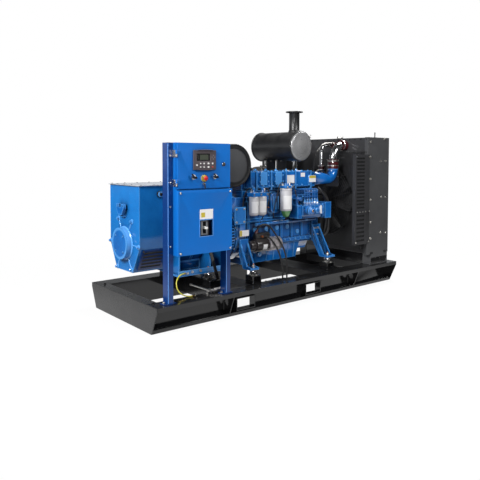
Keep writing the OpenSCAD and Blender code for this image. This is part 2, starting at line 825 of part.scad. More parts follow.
module belt_drive() {
    x0 = case_front_x + 30;
    crank_pulley_r = 105;
    fan_pulley_r = 80;
    gen_pulley_r = 34;
    belt_t = 4;
    color(black) {
        rod_x(crank_pulley_r, case_front_x, case_front_x + 56, 0, crank_z);
        rod_x(fan_pulley_r, x0, x0 + 26, 0, fan_z);
        // Charging alternator beside the case, with its pulley
        rod_x(68, case_front_x - 130, x0 - 12, gen_y, gen_z);
        rod_x(gen_pulley_r, x0 - 13, x0 + 24, gen_y, gen_z);
        // One flat belt round the crankshaft, fan and charging pulleys, sunk half a millimetre
        difference() {
            hull() {
                rod_x(crank_pulley_r + belt_t, x0 + 2, x0 + 22, 0, crank_z);
                rod_x(fan_pulley_r + belt_t, x0 + 2, x0 + 22, 0, fan_z);
                rod_x(gen_pulley_r + belt_t, x0 + 2, x0 + 22, gen_y, gen_z);
            }
            hull() {
                rod_x(crank_pulley_r - 0.5, x0 + 1, x0 + 23, 0, crank_z);
                rod_x(fan_pulley_r - 0.5, x0 + 1, x0 + 23, 0, fan_z);
                rod_x(gen_pulley_r - 0.5, x0 + 1, x0 + 23, gen_y, gen_z);
            }
        }
    }
}

module cooling_fan() {
    color(black) {
        rod_x(60, case_front_x + 56, fan_x + fan_t, 0, fan_z);
        for (i = [0:7]) {
            translate([fan_x + 6, 0, fan_z]) rotate([i * 45, 0, 0])
                rotate([0, 0, 28]) translate([-4, -50, 40]) cube([8, 100, fan_r - 40]);
        }
    }
}

module foot_side_profile(top_y, top_z) {
    difference() {
        polygon([[top_y, top_z], [top_y, top_z - 150], [-mount_y + 60, pad_z], [-mount_y - 52, pad_z],
            [-mount_y - 52, pad_z + pad_t], [-mount_y + 10, pad_z + pad_t + 12]]);
        polygon([[top_y - 18, top_z - 50], [top_y - 18, top_z - 118], [-mount_y + 62, pad_z + 28]]);
    }
}

module engine_feet() {
    color(blue) mirror_y() {
        difference() {
            union() {
                for (x = [front_mount_x - 90, front_mount_x + 10]) {
                    along_x(x, x + 18) foot_side_profile(-block_half - 25.5, foot_top_z);
                }
                block([front_mount_x - 90, -mount_y - 52, pad_z],
                    [front_mount_x + 28, -mount_y + 62, pad_z + pad_t]);
                block([front_mount_x - 90, -block_half - 43, foot_top_z - 148],
                    [front_mount_x + 28, -block_half - 25.5, foot_top_z]);
            }
            rod_z(10, pad_z - 1, pad_z + pad_t + 1, front_mount_x - 30, -mount_y);
        }
        difference() {
            union() {
                along_x(rear_mount_x - 78, rear_mount_x - 60) foot_side_profile(-bell_r - 14.5, 640);
                along_x(rear_mount_x + 8, rear_mount_x + 26) foot_side_profile(-bell_r - 14.5, 640);
                block([rear_mount_x - 78, -mount_y - 52, pad_z],
                    [rear_mount_x + 26, -mount_y + 62, pad_z + pad_t]);
                block([rear_mount_x - 78, -bell_r - 33, 490], [rear_mount_x + 26, -bell_r - 14.5, 640]);
            }
            rod_z(10, pad_z - 1, pad_z + pad_t + 1, rear_mount_x, -mount_y);
        }
    }
}

module radiator_core() {
    color(grey) block([core_x[0], -rad_half + sheet_t, rad_low_z + low_tank_h],
        [core_x[1], rad_half - sheet_t, rad_top_z - tank_h]);
}

module radiator_frame() {
    color(grey) mirror_y() {
        difference() {
            union() {
                block([rad_x, -rad_half, rad_low_z], [rad_back_x, -rad_half + sheet_t, rad_top_z]);
                block([rad_x, -rad_half, rad_low_z], [rad_x + sheet_t, -rad_half + flange_w, rad_top_z]);
                block([rad_back_x - sheet_t, -rad_half, rad_low_z],
                    [rad_back_x, -rad_half + flange_w, rad_top_z]);
            }
            for (x = [rad_x + 85, rad_back_x - 60]) {
                rod_y(26, -rad_half - 1, -rad_half + sheet_t + 1, x, rad_low_z);
            }
        }
        // Foot channel between the skid and the side plate
        difference() {
            block([rad_x + 70, -rad_half, skid_h], [rad_back_x - 10, -rad_half + 110, rad_low_z]);
            block([rad_x + 76, -rad_half - 1, skid_h + 8],
                [rad_back_x - 16, -rad_half + 100, rad_low_z - 40]);
        }
    }
}

module header_tank() {
    color(black) {
        block([rad_x + 4, -rad_half + sheet_t, rad_top_z - tank_h],
            [rad_back_x - 40, rad_half - sheet_t, rad_top_z - 4]);
        block([core_x[0], -rad_half + sheet_t, rad_low_z],
            [core_x[1], rad_half - sheet_t, rad_low_z + low_tank_h]);
        rod_z(34, rad_top_z - 5, rad_top_z + 26, rad_x + 180, 0);
        rod_z(6, rad_top_z - 5, rad_top_z + 60, rad_x + 200, -rad_half + 60);
    }
}

module fan_ring() {
    ring_half = rad_half - flange_w;
    ring_z0 = rad_low_z + low_tank_h;
    ring_z1 = rad_top_z - tank_h;
    color(black) difference() {
        block([ring_x, -ring_half, ring_z0], [core_x[0], ring_half, ring_z1]);
        block([ring_x + sheet_t, -ring_half + sheet_t, ring_z0 + sheet_t],
            [core_x[0] + 1, ring_half - sheet_t, ring_z1 - sheet_t]);
        rod_x(fan_r + 15, ring_x - 1, ring_x + sheet_t + 1, 0, fan_z);
    }
}

module guard_slots(z0, z1, n) {
    pitch = (z1 - z0 - 50) / n;
    for (i = [0:n - 1]) {
        block([guard_x + 25, -rad_half - sheet_t - 1, z0 + 25 + (i + 0.25) * pitch],
            [guard_x + guard_l - 85, -rad_half + 1, z0 + 25 + (i + 0.75) * pitch]);
    }
}

module side_guards() {
    color(grey) mirror_y() difference() {
        union() {
            block([guard_x, -rad_half - sheet_t, guard_low_z], [guard_x + guard_l, -rad_half, guard_top_z]);
            block([guard_x, -rad_half - sheet_t, guard_low_z],
                [guard_x + sheet_t, -rad_half + 35, guard_top_z]);
            block([guard_x, -rad_half - sheet_t - 8, guard_seam_z - 3],
                [guard_x + guard_l, -rad_half - sheet_t + 1, guard_seam_z + 3]);
        }
        guard_slots(guard_seam_z, guard_top_z, slots_up);
        guard_slots(guard_low_z, guard_seam_z, slots_low);
    }
}

// Quarter bends in the plane of X and Z: the first turns from +X up, the second from up to +X
module bend_up(r, bend, x, y, z) {
    translate([x, y, z + bend]) rotate([90, 0, 0]) rotate([0, 0, -90])
        rotate_extrude(angle = 90) translate([bend, 0]) circle(r = r);
}

module bend_over(r, bend, x, y, z) {
    translate([x + bend, y, z]) rotate([90, 0, 0]) rotate([0, 0, 90])
        rotate_extrude(angle = 90) translate([bend, 0]) circle(r = r);
}

module charge_pipes() {
    z1 = tank_inlet_z;
    color(silver) {
        rod_z(charge_r, elbow_top_z + 40, z1 - pipe_bend, elbow_x, elbow_y);
        bend_over(charge_r, pipe_bend, elbow_x, elbow_y, z1 - pipe_bend);
        rod_x(charge_r, elbow_x + pipe_bend, rad_x - 10, elbow_y, z1);
        // Far pipe, from the compressor to the radiator
        translate([scroll_x + far_bend, far_pipe_y - far_bend, scroll_out_z]) rotate([0, 0, 90])
            rotate_extrude(angle = 90) translate([far_bend, 0]) circle(r = far_pipe_r);
        rod_x(far_pipe_r, scroll_x + far_bend, elbow_x - pipe_bend, far_pipe_y, scroll_out_z);
        bend_up(far_pipe_r, pipe_bend, elbow_x - pipe_bend, far_pipe_y, scroll_out_z);
        rod_z(far_pipe_r, scroll_out_z + pipe_bend, z1 - pipe_bend, elbow_x, far_pipe_y);
        bend_over(far_pipe_r, pipe_bend, elbow_x, far_pipe_y, z1 - pipe_bend);
        rod_x(far_pipe_r, elbow_x + pipe_bend, rad_x - 10, far_pipe_y, z1);
    }
}

module coolant_pipes() {
    bend = 60;
    color(silver) {
        rod_z(coolant_r, thermostat_z + 10, coolant_z - bend, coolant_x, coolant_y);
        bend_over(coolant_r, bend, coolant_x, coolant_y, coolant_z - bend);
        rod_x(coolant_r, coolant_x + bend, rad_x - 10, coolant_y, coolant_z);
    }
}

module sleeve(r, wall, length) {
    linear_extrude(height = length) difference() {
        circle(r = r + fit_gap + wall);
        circle(r = r + fit_gap);
    }
}

// Sleeves on the pipes where they meet the elbow, the thermostat housing and the header tank
module rubber_hoses() {
    tank_face_x = rad_x + 4;
    color(red) {
        translate([elbow_x, elbow_y, elbow_top_z + 10]) sleeve(charge_r, 12, 75);
        translate([coolant_x, coolant_y, thermostat_z]) sleeve(coolant_r, 8, 62);
        for (p = [[elbow_y, charge_r, tank_inlet_z], [far_pipe_y, far_pipe_r, tank_inlet_z],
                [coolant_y, coolant_r, coolant_z]]) {
            translate([tank_face_x - 70, p[0], p[2]]) rotate([0, 90, 0]) sleeve(p[1], 9, 70);
        }
    }
}

// Grey plate behind the intake elbow
module elbow_shield() {
    corner_r = 20;
    color(grey) along_x(shield_x, shield_x + 3) translate([elbow_y - 11, elbow_z - 73]) offset(r = corner_r)
        square([146, 204]);
}

bypass_pts = [[case_front_x, -180, 1050], [case_front_x + 20, -180, 1050], [case_front_x + 40, -180, 1050],
    [case_front_x + 105, -195, 1038], [case_front_x + 165, -203, 975], [case_front_x + 193, -205, 880],
    [case_front_x + 199, -205, 740], [case_front_x + 192, -202, 625], [case_front_x + 155, -192, 560],
    [case_front_x + 95, -183, 547], [case_front_x + 45, -180, 547], [case_front_x + 20, -180, 547],
    [case_front_x, -180, 547]];

module bypass_hose() {
    color(black) tube_along(smooth_route(bypass_pts, 4), 18, [0.1, 1, 0.05], 12);
}

// Pipe along the beam's rear face, with a valve that lies on the rail's flange
module drain_valve() {
    pipe_r = 8;
    barrel_r = 20;
    pipe_x = beam_x[0] - pipe_r - fit_gap;
    barrel_y = -web_y - barrel_r - 8;
    barrel_z = skid_h + barrel_r;
    color(silver) {
        rod_y(pipe_r, -web_y - 10, -140, pipe_x, barrel_z);
        rod_x(12, pipe_x - 12, beam_x[0], -150, barrel_z);
        rod_y(16, barrel_y - 6, -web_y - fit_gap, pipe_x, barrel_z);
        rod_x(12, pipe_x, pipe_x + 32, barrel_y, barrel_z);
        rod_x(barrel_r, pipe_x + 30, pipe_x + 118, barrel_y, barrel_z);
        rod_x(barrel_r - 4, pipe_x + 117, pipe_x + 130, barrel_y, barrel_z);
        rod_z(8, skid_h, skid_h + 18, pipe_x - 40, barrel_y);
    }
}

module silencer() {
    color(black) {
        rod_y(sil_r - 8, sil_near_y, sil_far_y, sil_x, sil_z);
        for (y = [sil_near_y, sil_far_y - 14]) rod_y(sil_r, y, y + 14, sil_x, sil_z);
        // Dished end caps
        for (s = [0, 1]) {
            y = s == 0 ? sil_near_y : sil_far_y;
            translate([sil_x, y, sil_z]) rotate([s == 0 ? 90 : -90, 0, 0]) rotate_extrude()
                polygon([[0, 0], [sil_r - 8, 0], [sil_r - 20, 10], [sil_r * 0.62, 14], [sil_r * 0.4, 22],
                    [0, 26]]);
        }
        difference() {
            union() {
                rod_z(outlet_bore_r + 5, sil_z + sil_r - 30, outlet_z, sil_x, outlet_y);
                rod_z(outlet_flange_r, outlet_z - 10, outlet_z, sil_x, outlet_y);
            }
            rod_z(outlet_bore_r, sil_z + sil_r + 5, outlet_z + 1, sil_x, outlet_y);
        }
        difference() {
            union() {
                rod_z(neck_r, neck_z, sil_z - sil_r + 40, sil_x, neck_y);
                rod_z(70, neck_z, neck_z + 14, sil_x, neck_y);
            }
            rod_z(neck_r - 5, neck_z - 1, neck_z + 30, sil_x, neck_y);
        }
    }
}

module silencer_bracket() {
    color(black) difference() {
        union() {
            block([sil_x - 66, -10, rocker_top_z + 6], [sil_x + 66, 8, sil_z - 60]);
            block([sil_x - 66, 152, rocker_top_z + 6], [sil_x + 66, 170, sil_z - 60]);
            block([sil_x - 80, -60, rocker_top_z], [sil_x + 80, 170, rocker_top_z + 8]);
        }
        rod_y(sil_r - 8 + fit_gap, -70, 180, sil_x, sil_z);
        block([sil_x - 200, 100, rocker_top_z - 1], [sil_x + 200, 151, rocker_top_z + 9]);
    }
}

module air_cleaner() {
    color(black) {
        rod_y(air_r - 14, air_near_y + 4, air_near_y + air_l, air_x, air_z);
        difference() {
            rod_y(air_r, air_near_y, air_near_y + 46, air_x, air_z);
            rod_y(air_r - 22, air_near_y - 1, air_near_y + 10, air_x, air_z);
        }
        for (i = [0:7]) {
            translate([air_x, air_near_y + 20, air_z]) rotate([0, i * 45 + 22.5, 0])
                translate([air_r - 4, -14, -14]) cube([12, 44, 28]);
        }
    }
}

module air_bracket() {
    color(blue) difference() {
        union() {
            block([air_x - 60, -130, deck_z - 60], [air_x + 40, -112, air_z - 100]);
            block([air_x - 60, 60, deck_z - 60], [air_x + 40, 78, air_z - 100]);
            block([air_x - 60, -130, deck_z - 60], [bell_x + 60, 78, deck_z - 54]);
        }
        rod_y(air_r - 14 + fit_gap, -140, 90, air_x, air_z);
    }
}

// A channel that opens towards +X, with its foot plate and bolt heads
module stand_post(x, top_z) {
    difference() {
        block([x, post_front_y, skid_h], [x + post_w, post_front_y + post_d, top_z]);
        block([x + sheet_t, post_front_y + sheet_t, skid_h + 8],
            [x + post_w + 1, post_front_y + post_d - sheet_t, top_z + 1]);
    }
    for (s = [-1, 1]) {
        foot_x = s < 0 ? x - 34 : x + post_w - 1;
        block([foot_x, post_front_y + 10, skid_h], [foot_x + 35, post_front_y + post_d - 10, skid_h + 8]);
        rod_z(9, skid_h + 7, skid_h + 17, foot_x + 17, post_front_y + post_d / 2, $fn = 6);
    }
}

module stand_posts() {
    color(navy) {
        stand_post(bay_x - post_w, stand_top_z);
        stand_post(bay_x + bay_w, upper_z);
    }
}

module upper_cabinet() {
    x1 = bay_x + bay_w;
    y0 = door_back_y + 2;
    y1 = door_back_y + upper_d;
    color(blue) {
        difference() {
            block([bay_x, y0, upper_z], [x1, y1, stand_top_z]);
            block([bay_x + sheet_t, y0 - 1, upper_z + sheet_t],
                [x1 - sheet_t, y1 - sheet_t, stand_top_z - sheet_t]);
        }
        // Hinge leaves with their fixed knuckles, on the left wall
        for (z = hinge_zs) {
            difference() {
                union() {
                    block([bay_x - 3, hinge_y - 2, z - 28], [bay_x, y0 + 20, z - 4]);
                    rod_z(hinge_r + 3, z - 28, z - 4, hinge_x, hinge_y);
                }
                rod_z(hinge_r - 2 + run_gap, z - 29, z + 1, hinge_x, hinge_y);
            }
        }
    }
}

module cabinet_door() {
    x0 = bay_x + 4;
    x1 = x0 + door_w;
    color(blue) difference() {
        union() {
            difference() {
                block([x0, door_front_y, upper_z + 4], [x1, door_back_y, stand_top_z - 2]);
                block([x0 + 3, door_front_y + 3, upper_z + 7], [x1 - 3, door_back_y + 1, stand_top_z - 5]);
            }
            for (z = hinge_zs) {
                block([hinge_x, door_front_y - 3, z - 3], [x0 + 24, door_front_y + 1, z + 28]);
                rod_z(hinge_r + 3, z - 3, z + 28, hinge_x, hinge_y);
                rod_z(hinge_r - 2, z - 28, z, hinge_x, hinge_y);
            }
            // Round lock, its barrel and its tongue
            rod_y(16, door_front_y - 8, door_front_y + 1, x1 - 74, ctrl_z - 35);
            rod_y(10, door_front_y, door_back_y + 4, x1 - 74, ctrl_z - 35);
        }
        block([ctrl_x - ctrl_w / 2 + 10, door_front_y - 1, ctrl_z - ctrl_h / 2 + 10],
            [ctrl_x + ctrl_w / 2 - 10, door_front_y + 4, ctrl_z + ctrl_h / 2 - 10]);
        for (x = key_xs) rod_y(11, door_front_y - 1, door_front_y + 4, x, key_z);
        rod_y(11, door_front_y - 1, door_front_y + 4, stop_x, stop_z);
    }
}

module controller() {
    color(grey) {
        difference() {
            block([ctrl_x - ctrl_w / 2, door_front_y - 14, ctrl_z - ctrl_h / 2],
                [ctrl_x + ctrl_w / 2, door_front_y, ctrl_z + ctrl_h / 2]);
            block([ctrl_x - 82, door_front_y - 15, ctrl_z - 8],
                [ctrl_x + 52, door_front_y - 10, ctrl_z + 52]);
        }
        block([ctrl_x - ctrl_w / 2 + 10 + fit_gap, door_front_y - 1, ctrl_z - ctrl_h / 2 + 10 + fit_gap],
            [ctrl_x + ctrl_w / 2 - 10 - fit_gap, door_front_y + 40, ctrl_z + ctrl_h / 2 - 10 - fit_gap]);
    }
}

// A ring on the door front with a barrel behind it and a bore for a shaft
module switch_ring(x, z, r) {
    difference() {
        union() {
            rod_y(r, door_front_y - 8, door_front_y, x, z);
            rod_y(11 - fit_gap, door_front_y - 1, door_front_y + 30, x, z);
        }
        rod_y(knob_shaft_r + run_gap, door_front_y - 9, door_front_y + 31, x, z);
    }
}

module switch_rings() {
    color(silver) {
        for (x = key_xs) switch_ring(x, key_z, 16);
        switch_ring(stop_x, stop_z, 30);
        // Key barrel below the stop button
        rod_y(10, door_front_y - 14, door_front_y, stop_x - 6, stop_z - 48);
    }
}

module key_switch(x) {
    color(silver) {
        rod_y(knob_shaft_r, door_front_y - 12, door_front_y + 28, x, key_z);
        rod_y(12, door_front_y - 26, door_front_y - 11, x, key_z);
        block([x - 4, door_front_y - 44, key_z - 14], [x + 4, door_front_y - 25, key_z + 14]);
    }
}

module key_switch_left() {
    key_switch(key_xs[0]);
}

module key_switch_right() {
    key_switch(key_xs[1]);
}

module stop_button() {
    y0 = door_front_y - 8 - stop_travel - 6;
    color(red) {
        rod_y(knob_shaft_r, y0 - 1, door_front_y + 12, stop_x, stop_z);
        translate([stop_x, y0, stop_z]) rotate([90, 0, 0]) rotate_extrude()
            polygon([[0, 0], [20, 0], [20, 6], [17, 11], [10, 14], [0, 15]]);
    }
}

module lower_cabinet() {
    x1 = bay_x + bay_w;
    y1 = cover_back_y + lower_d;
    color(blue) difference() {
        block([bay_x, cover_back_y, lower_z], [x1, y1, upper_z]);
        block([bay_x + sheet_t, cover_back_y - 1, lower_z + sheet_t],
            [x1 - sheet_t, y1 - sheet_t, upper_z - sheet_t]);
    }
}

module lower_cover() {
    x0 = bay_x - 3;
    x1 = bay_x + bay_w + 3;
    color(blue) {
        difference() {
            block([x0, cover_front_y, lower_z + 2], [x1, cover_back_y, upper_z - 6]);
            block([x0 + 24, cover_front_y + 3, lower_z + 26], [x1 - 24, cover_back_y + 1, upper_z - 30]);
            block([window_x[0], cover_front_y - 1, window_z[0]],
                [window_x[1], cover_front_y + 4, window_z[1]]);
        }
        for (x = [x0 + 20, x1 - 20], z = [lower_z + 22, upper_z - 28]) {
            rod_y(8, cover_front_y - 4, cover_front_y + 1, x, z);
        }
    }
}

module breaker() {
    x0 = breaker_x - 62;
    x1 = breaker_x + 48;
    y1 = cover_back_y + lower_d - sheet_t;
    color(grey) difference() {
        block([x0, breaker_front_y, breaker_z - 110], [x1, y1, breaker_z + 110]);
        // Slot for the lever and the bore for its pin
        block([breaker_x - 16, breaker_front_y - 1, breaker_z - 48],
            [breaker_x + 16, breaker_front_y + 62, breaker_z + 48]);
        rod_x(pin_r + run_gap, breaker_x - 30, breaker_x + 30, lever_pivot_y, breaker_z);
    }
}

module breaker_lever() {
    color(white) {
        rod_x(pin_r, breaker_x - 28, breaker_x + 28, lever_pivot_y, breaker_z);
        rod_x(14, breaker_x - 8, breaker_x + 8, lever_pivot_y, breaker_z);
        block([breaker_x - 7, breaker_front_y - 16, breaker_z - 8],
            [breaker_x + 7, lever_pivot_y, breaker_z + 8]);
    }
}

// Points of the two starter cables: from the solenoid, over and down to a battery's post
cable_a = [[-290, -290, 698], [-281, -290, 713], [-271, -290, 729], [-255, -293, 746],
    [-231, -297, 760], [-202, -304, 766], [-170, -312, 760], [-144, -322, 740], [-119, -333, 708],
    [-97, -345, 673], [-77, -358, 637], [-58, -373, 600], [-33, -382, 556], [-6, -382, 509],
    [18, -378, 460], [35, -376, 410], [44, -375, 360], [45, -374, 305], [45, -374, 250],
    [45, -374, 214], [45, -374, 198], [45, -374, 182]];
cable_b = [[-250, -338, 652], [-238, -338, 652], [-226, -338, 652], [-206, -341, 650],
    [-186, -347, 642], [-167, -358, 627], [-150, -370, 605], [-131, -379, 573], [-107, -384, 535],
    [-82, -385, 491], [-59, -384, 443], [-39, -382, 395], [-24, -379, 346], [-15, -376, 297],
    [-13, -374, 250], [-13, -374, 214], [-13, -374, 198], [-13, -374, 182]];

module starter_cables() {
    color(black) {
        tube_along(cable_a, cable_r, [0, 1, 0.05], 8);
        tube_along(cable_b, cable_r, [0, 1, 0.05], 8);
    }
}

// Earth lead from an alternator foot, round behind the left post, to the rail
earth_pts = [[-1160, -351, 412], [-1170, -351, 412], [-1180, -351, 412], [-1204, -352, 410],
    [-1231, -356, 400], [-1254, -363, 384], [-1271, -373, 361], [-1281, -385, 334], [-1283, -399, 306],
    [-1276, -413, 281], [-1260, -427, 261], [-1238, -439, 247], [-1214, -448, 239], [-1190, -453, 236],
    [-1170, -455, 236], [-1160, -455, 236], [-1150, -455, 236]];

module earth_lead() {
    color("gold") tube_along(earth_pts, earth_r, [0.2, 0.8, -0.6], 8);
}

near_rail();
far_rail();
rear_end_plate();
front_end_plate();
cross_members();
mount_brackets();
rubber_mounts();
battery_tray();
batteries();
alternator_housing();
alternator_lid();
bearing_cap();
alternator_grilles();
coupling_guard();
flywheel_housing();
cylinder_block();
oil_sump();
timing_case();
cylinder_heads();
rocker_covers();
intake_manifold();
exhaust_manifold();
turbocharger();
intake_pipe();
injection_pump();
injection_lines();
fuel_filters();
starter_motor();
belt_drive();
cooling_fan();
engine_feet();
radiator_core();
radiator_frame();
header_tank();
fan_ring();
side_guards();
charge_pipes();
coolant_pipes();
rubber_hoses();
silencer();
silencer_bracket();
air_cleaner();
air_bracket();
stand_posts();
upper_cabinet();
cabinet_door();
controller();
switch_rings();
key_switch_left();
key_switch_right();
stop_button();
lower_cabinet();
lower_cover();
breaker();
breaker_lever();
starter_cables();
earth_lead();
elbow_shield();
bypass_hose();
drain_valve();
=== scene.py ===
# %% [markdown]
# # An open-frame diesel generating set
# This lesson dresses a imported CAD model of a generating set, and sets up the photograph's view of it.
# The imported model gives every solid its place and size. Blender only adds finishes, cables and fine
# pieces, so each piece reads its place from the solid that carries it. All lengths here are metres.

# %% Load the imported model
import json
import math

import bmesh
import bpy
import numpy as np
from mathutils import Matrix, Vector

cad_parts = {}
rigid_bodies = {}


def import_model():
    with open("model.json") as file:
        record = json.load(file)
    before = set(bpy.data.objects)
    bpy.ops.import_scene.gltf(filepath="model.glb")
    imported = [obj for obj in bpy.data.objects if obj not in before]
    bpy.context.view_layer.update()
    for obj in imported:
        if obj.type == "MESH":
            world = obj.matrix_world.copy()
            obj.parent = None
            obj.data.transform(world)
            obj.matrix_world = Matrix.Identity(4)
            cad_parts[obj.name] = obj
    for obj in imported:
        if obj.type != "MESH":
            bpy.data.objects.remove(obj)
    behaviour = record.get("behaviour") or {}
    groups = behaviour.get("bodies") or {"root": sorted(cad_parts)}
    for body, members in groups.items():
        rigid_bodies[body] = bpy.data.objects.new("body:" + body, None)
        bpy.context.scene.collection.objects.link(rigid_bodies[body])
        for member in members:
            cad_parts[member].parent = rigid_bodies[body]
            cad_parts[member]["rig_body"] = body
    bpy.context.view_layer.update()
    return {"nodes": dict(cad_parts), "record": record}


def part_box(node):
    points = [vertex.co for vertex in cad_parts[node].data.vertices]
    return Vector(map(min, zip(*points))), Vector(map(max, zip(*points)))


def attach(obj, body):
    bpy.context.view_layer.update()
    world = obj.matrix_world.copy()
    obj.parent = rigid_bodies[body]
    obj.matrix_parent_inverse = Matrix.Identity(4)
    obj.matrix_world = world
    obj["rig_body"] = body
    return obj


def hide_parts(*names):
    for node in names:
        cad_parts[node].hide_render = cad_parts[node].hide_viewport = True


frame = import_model()
scene = bpy.context.scene


def mm(*values):
    """Millimetres, as the drawing gives them, turned into a numpy array of metres."""
    return np.array(values, float) / 1000


# %% [markdown]
# The camera comes first. The photographer stood off the rear near corner, a little above the cabinet,
# so upright edges stay nearly upright. The view is turned 39 degrees off the skid's width and tipped
# down under 3 degrees. The picture is cropped low, which a small lens shift repeats.

# %% Camera
camera_place = mm(-3760.4, -4221.9, 1400.4)
camera_yaw = math.radians(-39.22)
camera_pitch = math.radians(-2.63)
camera_roll = math.radians(0.10)
focal_pixels = 538.95
centre_across, centre_down = 235.89, 184.36
picture_size = 480

ahead = Vector((-math.sin(camera_yaw) * math.cos(camera_pitch), math.cos(camera_yaw) * math.cos(camera_pitch),
                math.sin(camera_pitch)))
side = ahead.cross(Vector((0, 0, 1))).normalized()
upward = side.cross(ahead)
turn = Matrix((side, upward, -ahead)).transposed()
camera_data = bpy.data.cameras.new("camera")
camera_data.sensor_width = 36
camera_data.lens = 36 * focal_pixels / picture_size
camera_data.shift_x = (picture_size / 2 - centre_across) / picture_size
camera_data.shift_y = (centre_down - picture_size / 2) / picture_size
camera = bpy.data.objects.new("camera", camera_data)
camera.matrix_world = Matrix.Translation(camera_place) @ turn.to_4x4() @ Matrix.Rotation(camera_roll, 4, "Z")
scene.collection.objects.link(camera)
scene.camera = camera
print("lens %.1f mm, shift %.3f %.3f" % (camera_data.lens, camera_data.shift_x, camera_data.shift_y))

# %% [markdown]
# Shaders are built from nodes, and every node needs its properties set and its inputs linked. One
# helper does both, so that a shader reads like a formula. Light Path tells camera rays from mirror rays.


# %% Node helpers
def add(tree, kind, inputs=None, **values):
    """Adds a shader node, sets its properties and its inputs by name or number."""
    node = tree.nodes.new(kind)
    for key, value in values.items():
        setattr(node, key, value)
    for key, value in (inputs or {}).items():
        if isinstance(value, bpy.types.NodeSocket):
            tree.links.new(value, node.inputs[key])
        else:
            node.inputs[key].default_value = value
    return node


def ray_kinds(tree):
    """Two factors: one for rays from the camera or through glass, and one for mirror rays."""
    path = add(tree, "ShaderNodeLightPath")
    direct = add(tree, "ShaderNodeMath", {0: path.outputs["Is Camera Ray"], 1: path.outputs["Is Transmission Ray"]},
                 operation="ADD", use_clamp=True)
    return direct.outputs[0], path.outputs["Is Glossy Ray"]


def fading(tree, value, start, end, low):
    """A factor that is one up to the start and sinks evenly to its low value at the end."""
    return add(tree, "ShaderNodeMapRange", {"Value": value, "From Min": start, "From Max": end, "To Min": 1.0,
                                            "To Max": low}).outputs[0]


print("helpers ready")

# %% [markdown]
# The backdrop is pure white, yet the part has to be lit by plain lamps. A brighter world would wash
# the paint out, so it shows white to camera and glass rays only, and lights the set with a modest
# grey. Mirror rays see a bright band behind the set that fades upwards, as a studio wall does.

# %% World
fill_strength = 0.16
scene.view_settings.view_transform = "Standard"
world = bpy.data.worlds.new("studio")
scene.world = world
world.use_nodes = True
sky = world.node_tree
sky.nodes.clear()
direct, glossy = ray_kinds(sky)
heading = add(sky, "ShaderNodeSeparateXYZ", {0: add(sky, "ShaderNodeTexCoord").outputs["Object"]})
behind = add(sky, "ShaderNodeMapRange", {"Value": heading.outputs["Y"], "From Min": -0.1, "From Max": 0.4,
                                         "To Min": 0.2})
mirrored = add(sky, "ShaderNodeMath", {0: fading(sky, heading.outputs["Z"], 0.05, 0.24, 0.10),
                                       1: behind.outputs[0]}, operation="MULTIPLY").outputs[0]
tone = add(sky, "ShaderNodeMix", {0: glossy, 2: fill_strength, 3: mirrored}, data_type="FLOAT")
soft = add(sky, "ShaderNodeBackground", {"Color": (0.94, 0.97, 1, 1), "Strength": tone.outputs[0]})
white = add(sky, "ShaderNodeBackground", {"Color": (1, 1, 1, 1), "Strength": 1.0})
both = add(sky, "ShaderNodeMixShader", {0: direct, 1: soft.outputs[0], 2: white.outputs[0]})
add(sky, "ShaderNodeOutputWorld", {"Surface": both.outputs[0]})
print("fill light:", fill_strength)

# %% [markdown]
# The floor is white in the same way. It keeps a faint shadow of the skid, shows white in mirrors near
# the set, and gives back little light, which would turn the undersides milky.

# %% Floor
floor_half = 40.0
floor_mesh = bpy.data.meshes.new("floor")
floor_mesh.from_pydata([(x * floor_half, y * floor_half, 0) for x, y in ((-1, -1), (1, -1), (1, 1), (-1, 1))],
                       [], [(0, 1, 2, 3)])
floor = bpy.data.objects.new("floor", floor_mesh)
scene.collection.objects.link(floor)
floor_paint = bpy.data.materials.new("floor_white")
floor_paint.use_nodes = True
tree = floor_paint.node_tree
tree.nodes.clear()
direct, glossy = ray_kinds(tree)
reach = add(tree, "ShaderNodeVectorMath", {0: add(tree, "ShaderNodeTexCoord").outputs["Object"]},
            operation="LENGTH")
near = fading(tree, reach.outputs["Value"], 1.8, 3.6, 0.0)
mirrored = add(tree, "ShaderNodeMath", {0: glossy, 1: near}, operation="MULTIPLY")
clear = fading(tree, reach.outputs["Value"], 3.6, 2.2, 0.93)
shown = add(tree, "ShaderNodeMath", {0: direct, 1: clear, 2: mirrored.outputs[0]}, operation="MULTIPLY_ADD",
            use_clamp=True)
spread = add(tree, "ShaderNodeLightPath").outputs["Is Diffuse Ray"]
lost = add(tree, "ShaderNodeMath", {0: glossy, 1: spread}, operation="ADD", use_clamp=True)
chalk = add(tree, "ShaderNodeMix", {0: lost.outputs[0], 6: (0.84, 0.84, 0.84, 1), 7: (0.12, 0.12, 0.12, 1)},
            data_type="RGBA")
matt = add(tree, "ShaderNodeBsdfDiffuse", {"Color": chalk.outputs[2]})
glow = add(tree, "ShaderNodeEmission", {"Color": (1, 1, 1, 1), "Strength": 1.0})
mixed = add(tree, "ShaderNodeMixShader", {0: shown.outputs[0], 1: matt.outputs[0], 2: glow.outputs[0]})
add(tree, "ShaderNodeOutputMaterial", {"Surface": mixed.outputs[0]})
floor_mesh.materials.append(floor_paint)
print("floor half width:", floor_half)

# %% [markdown]
# Four soft lamps stand for the studio's: a key from the alternator end and above, a weaker one over
# the camera's side, one over the radiator that lights the tops, and a small one behind the camera
# that draws upright edges.


# %% Lamps
def lamp(name, place, target, size, watts):
    """A square area lamp that faces a target; both are in metres."""
    data = bpy.data.lights.new(name, "AREA")
    data.size = size
    data.energy = watts
    thing = bpy.data.objects.new(name, data)
    away = Vector(place) - Vector(target)
    thing.matrix_world = Matrix.Translation(place) @ away.to_track_quat("Z", "Y").to_matrix().to_4x4()
    scene.collection.objects.link(thing)


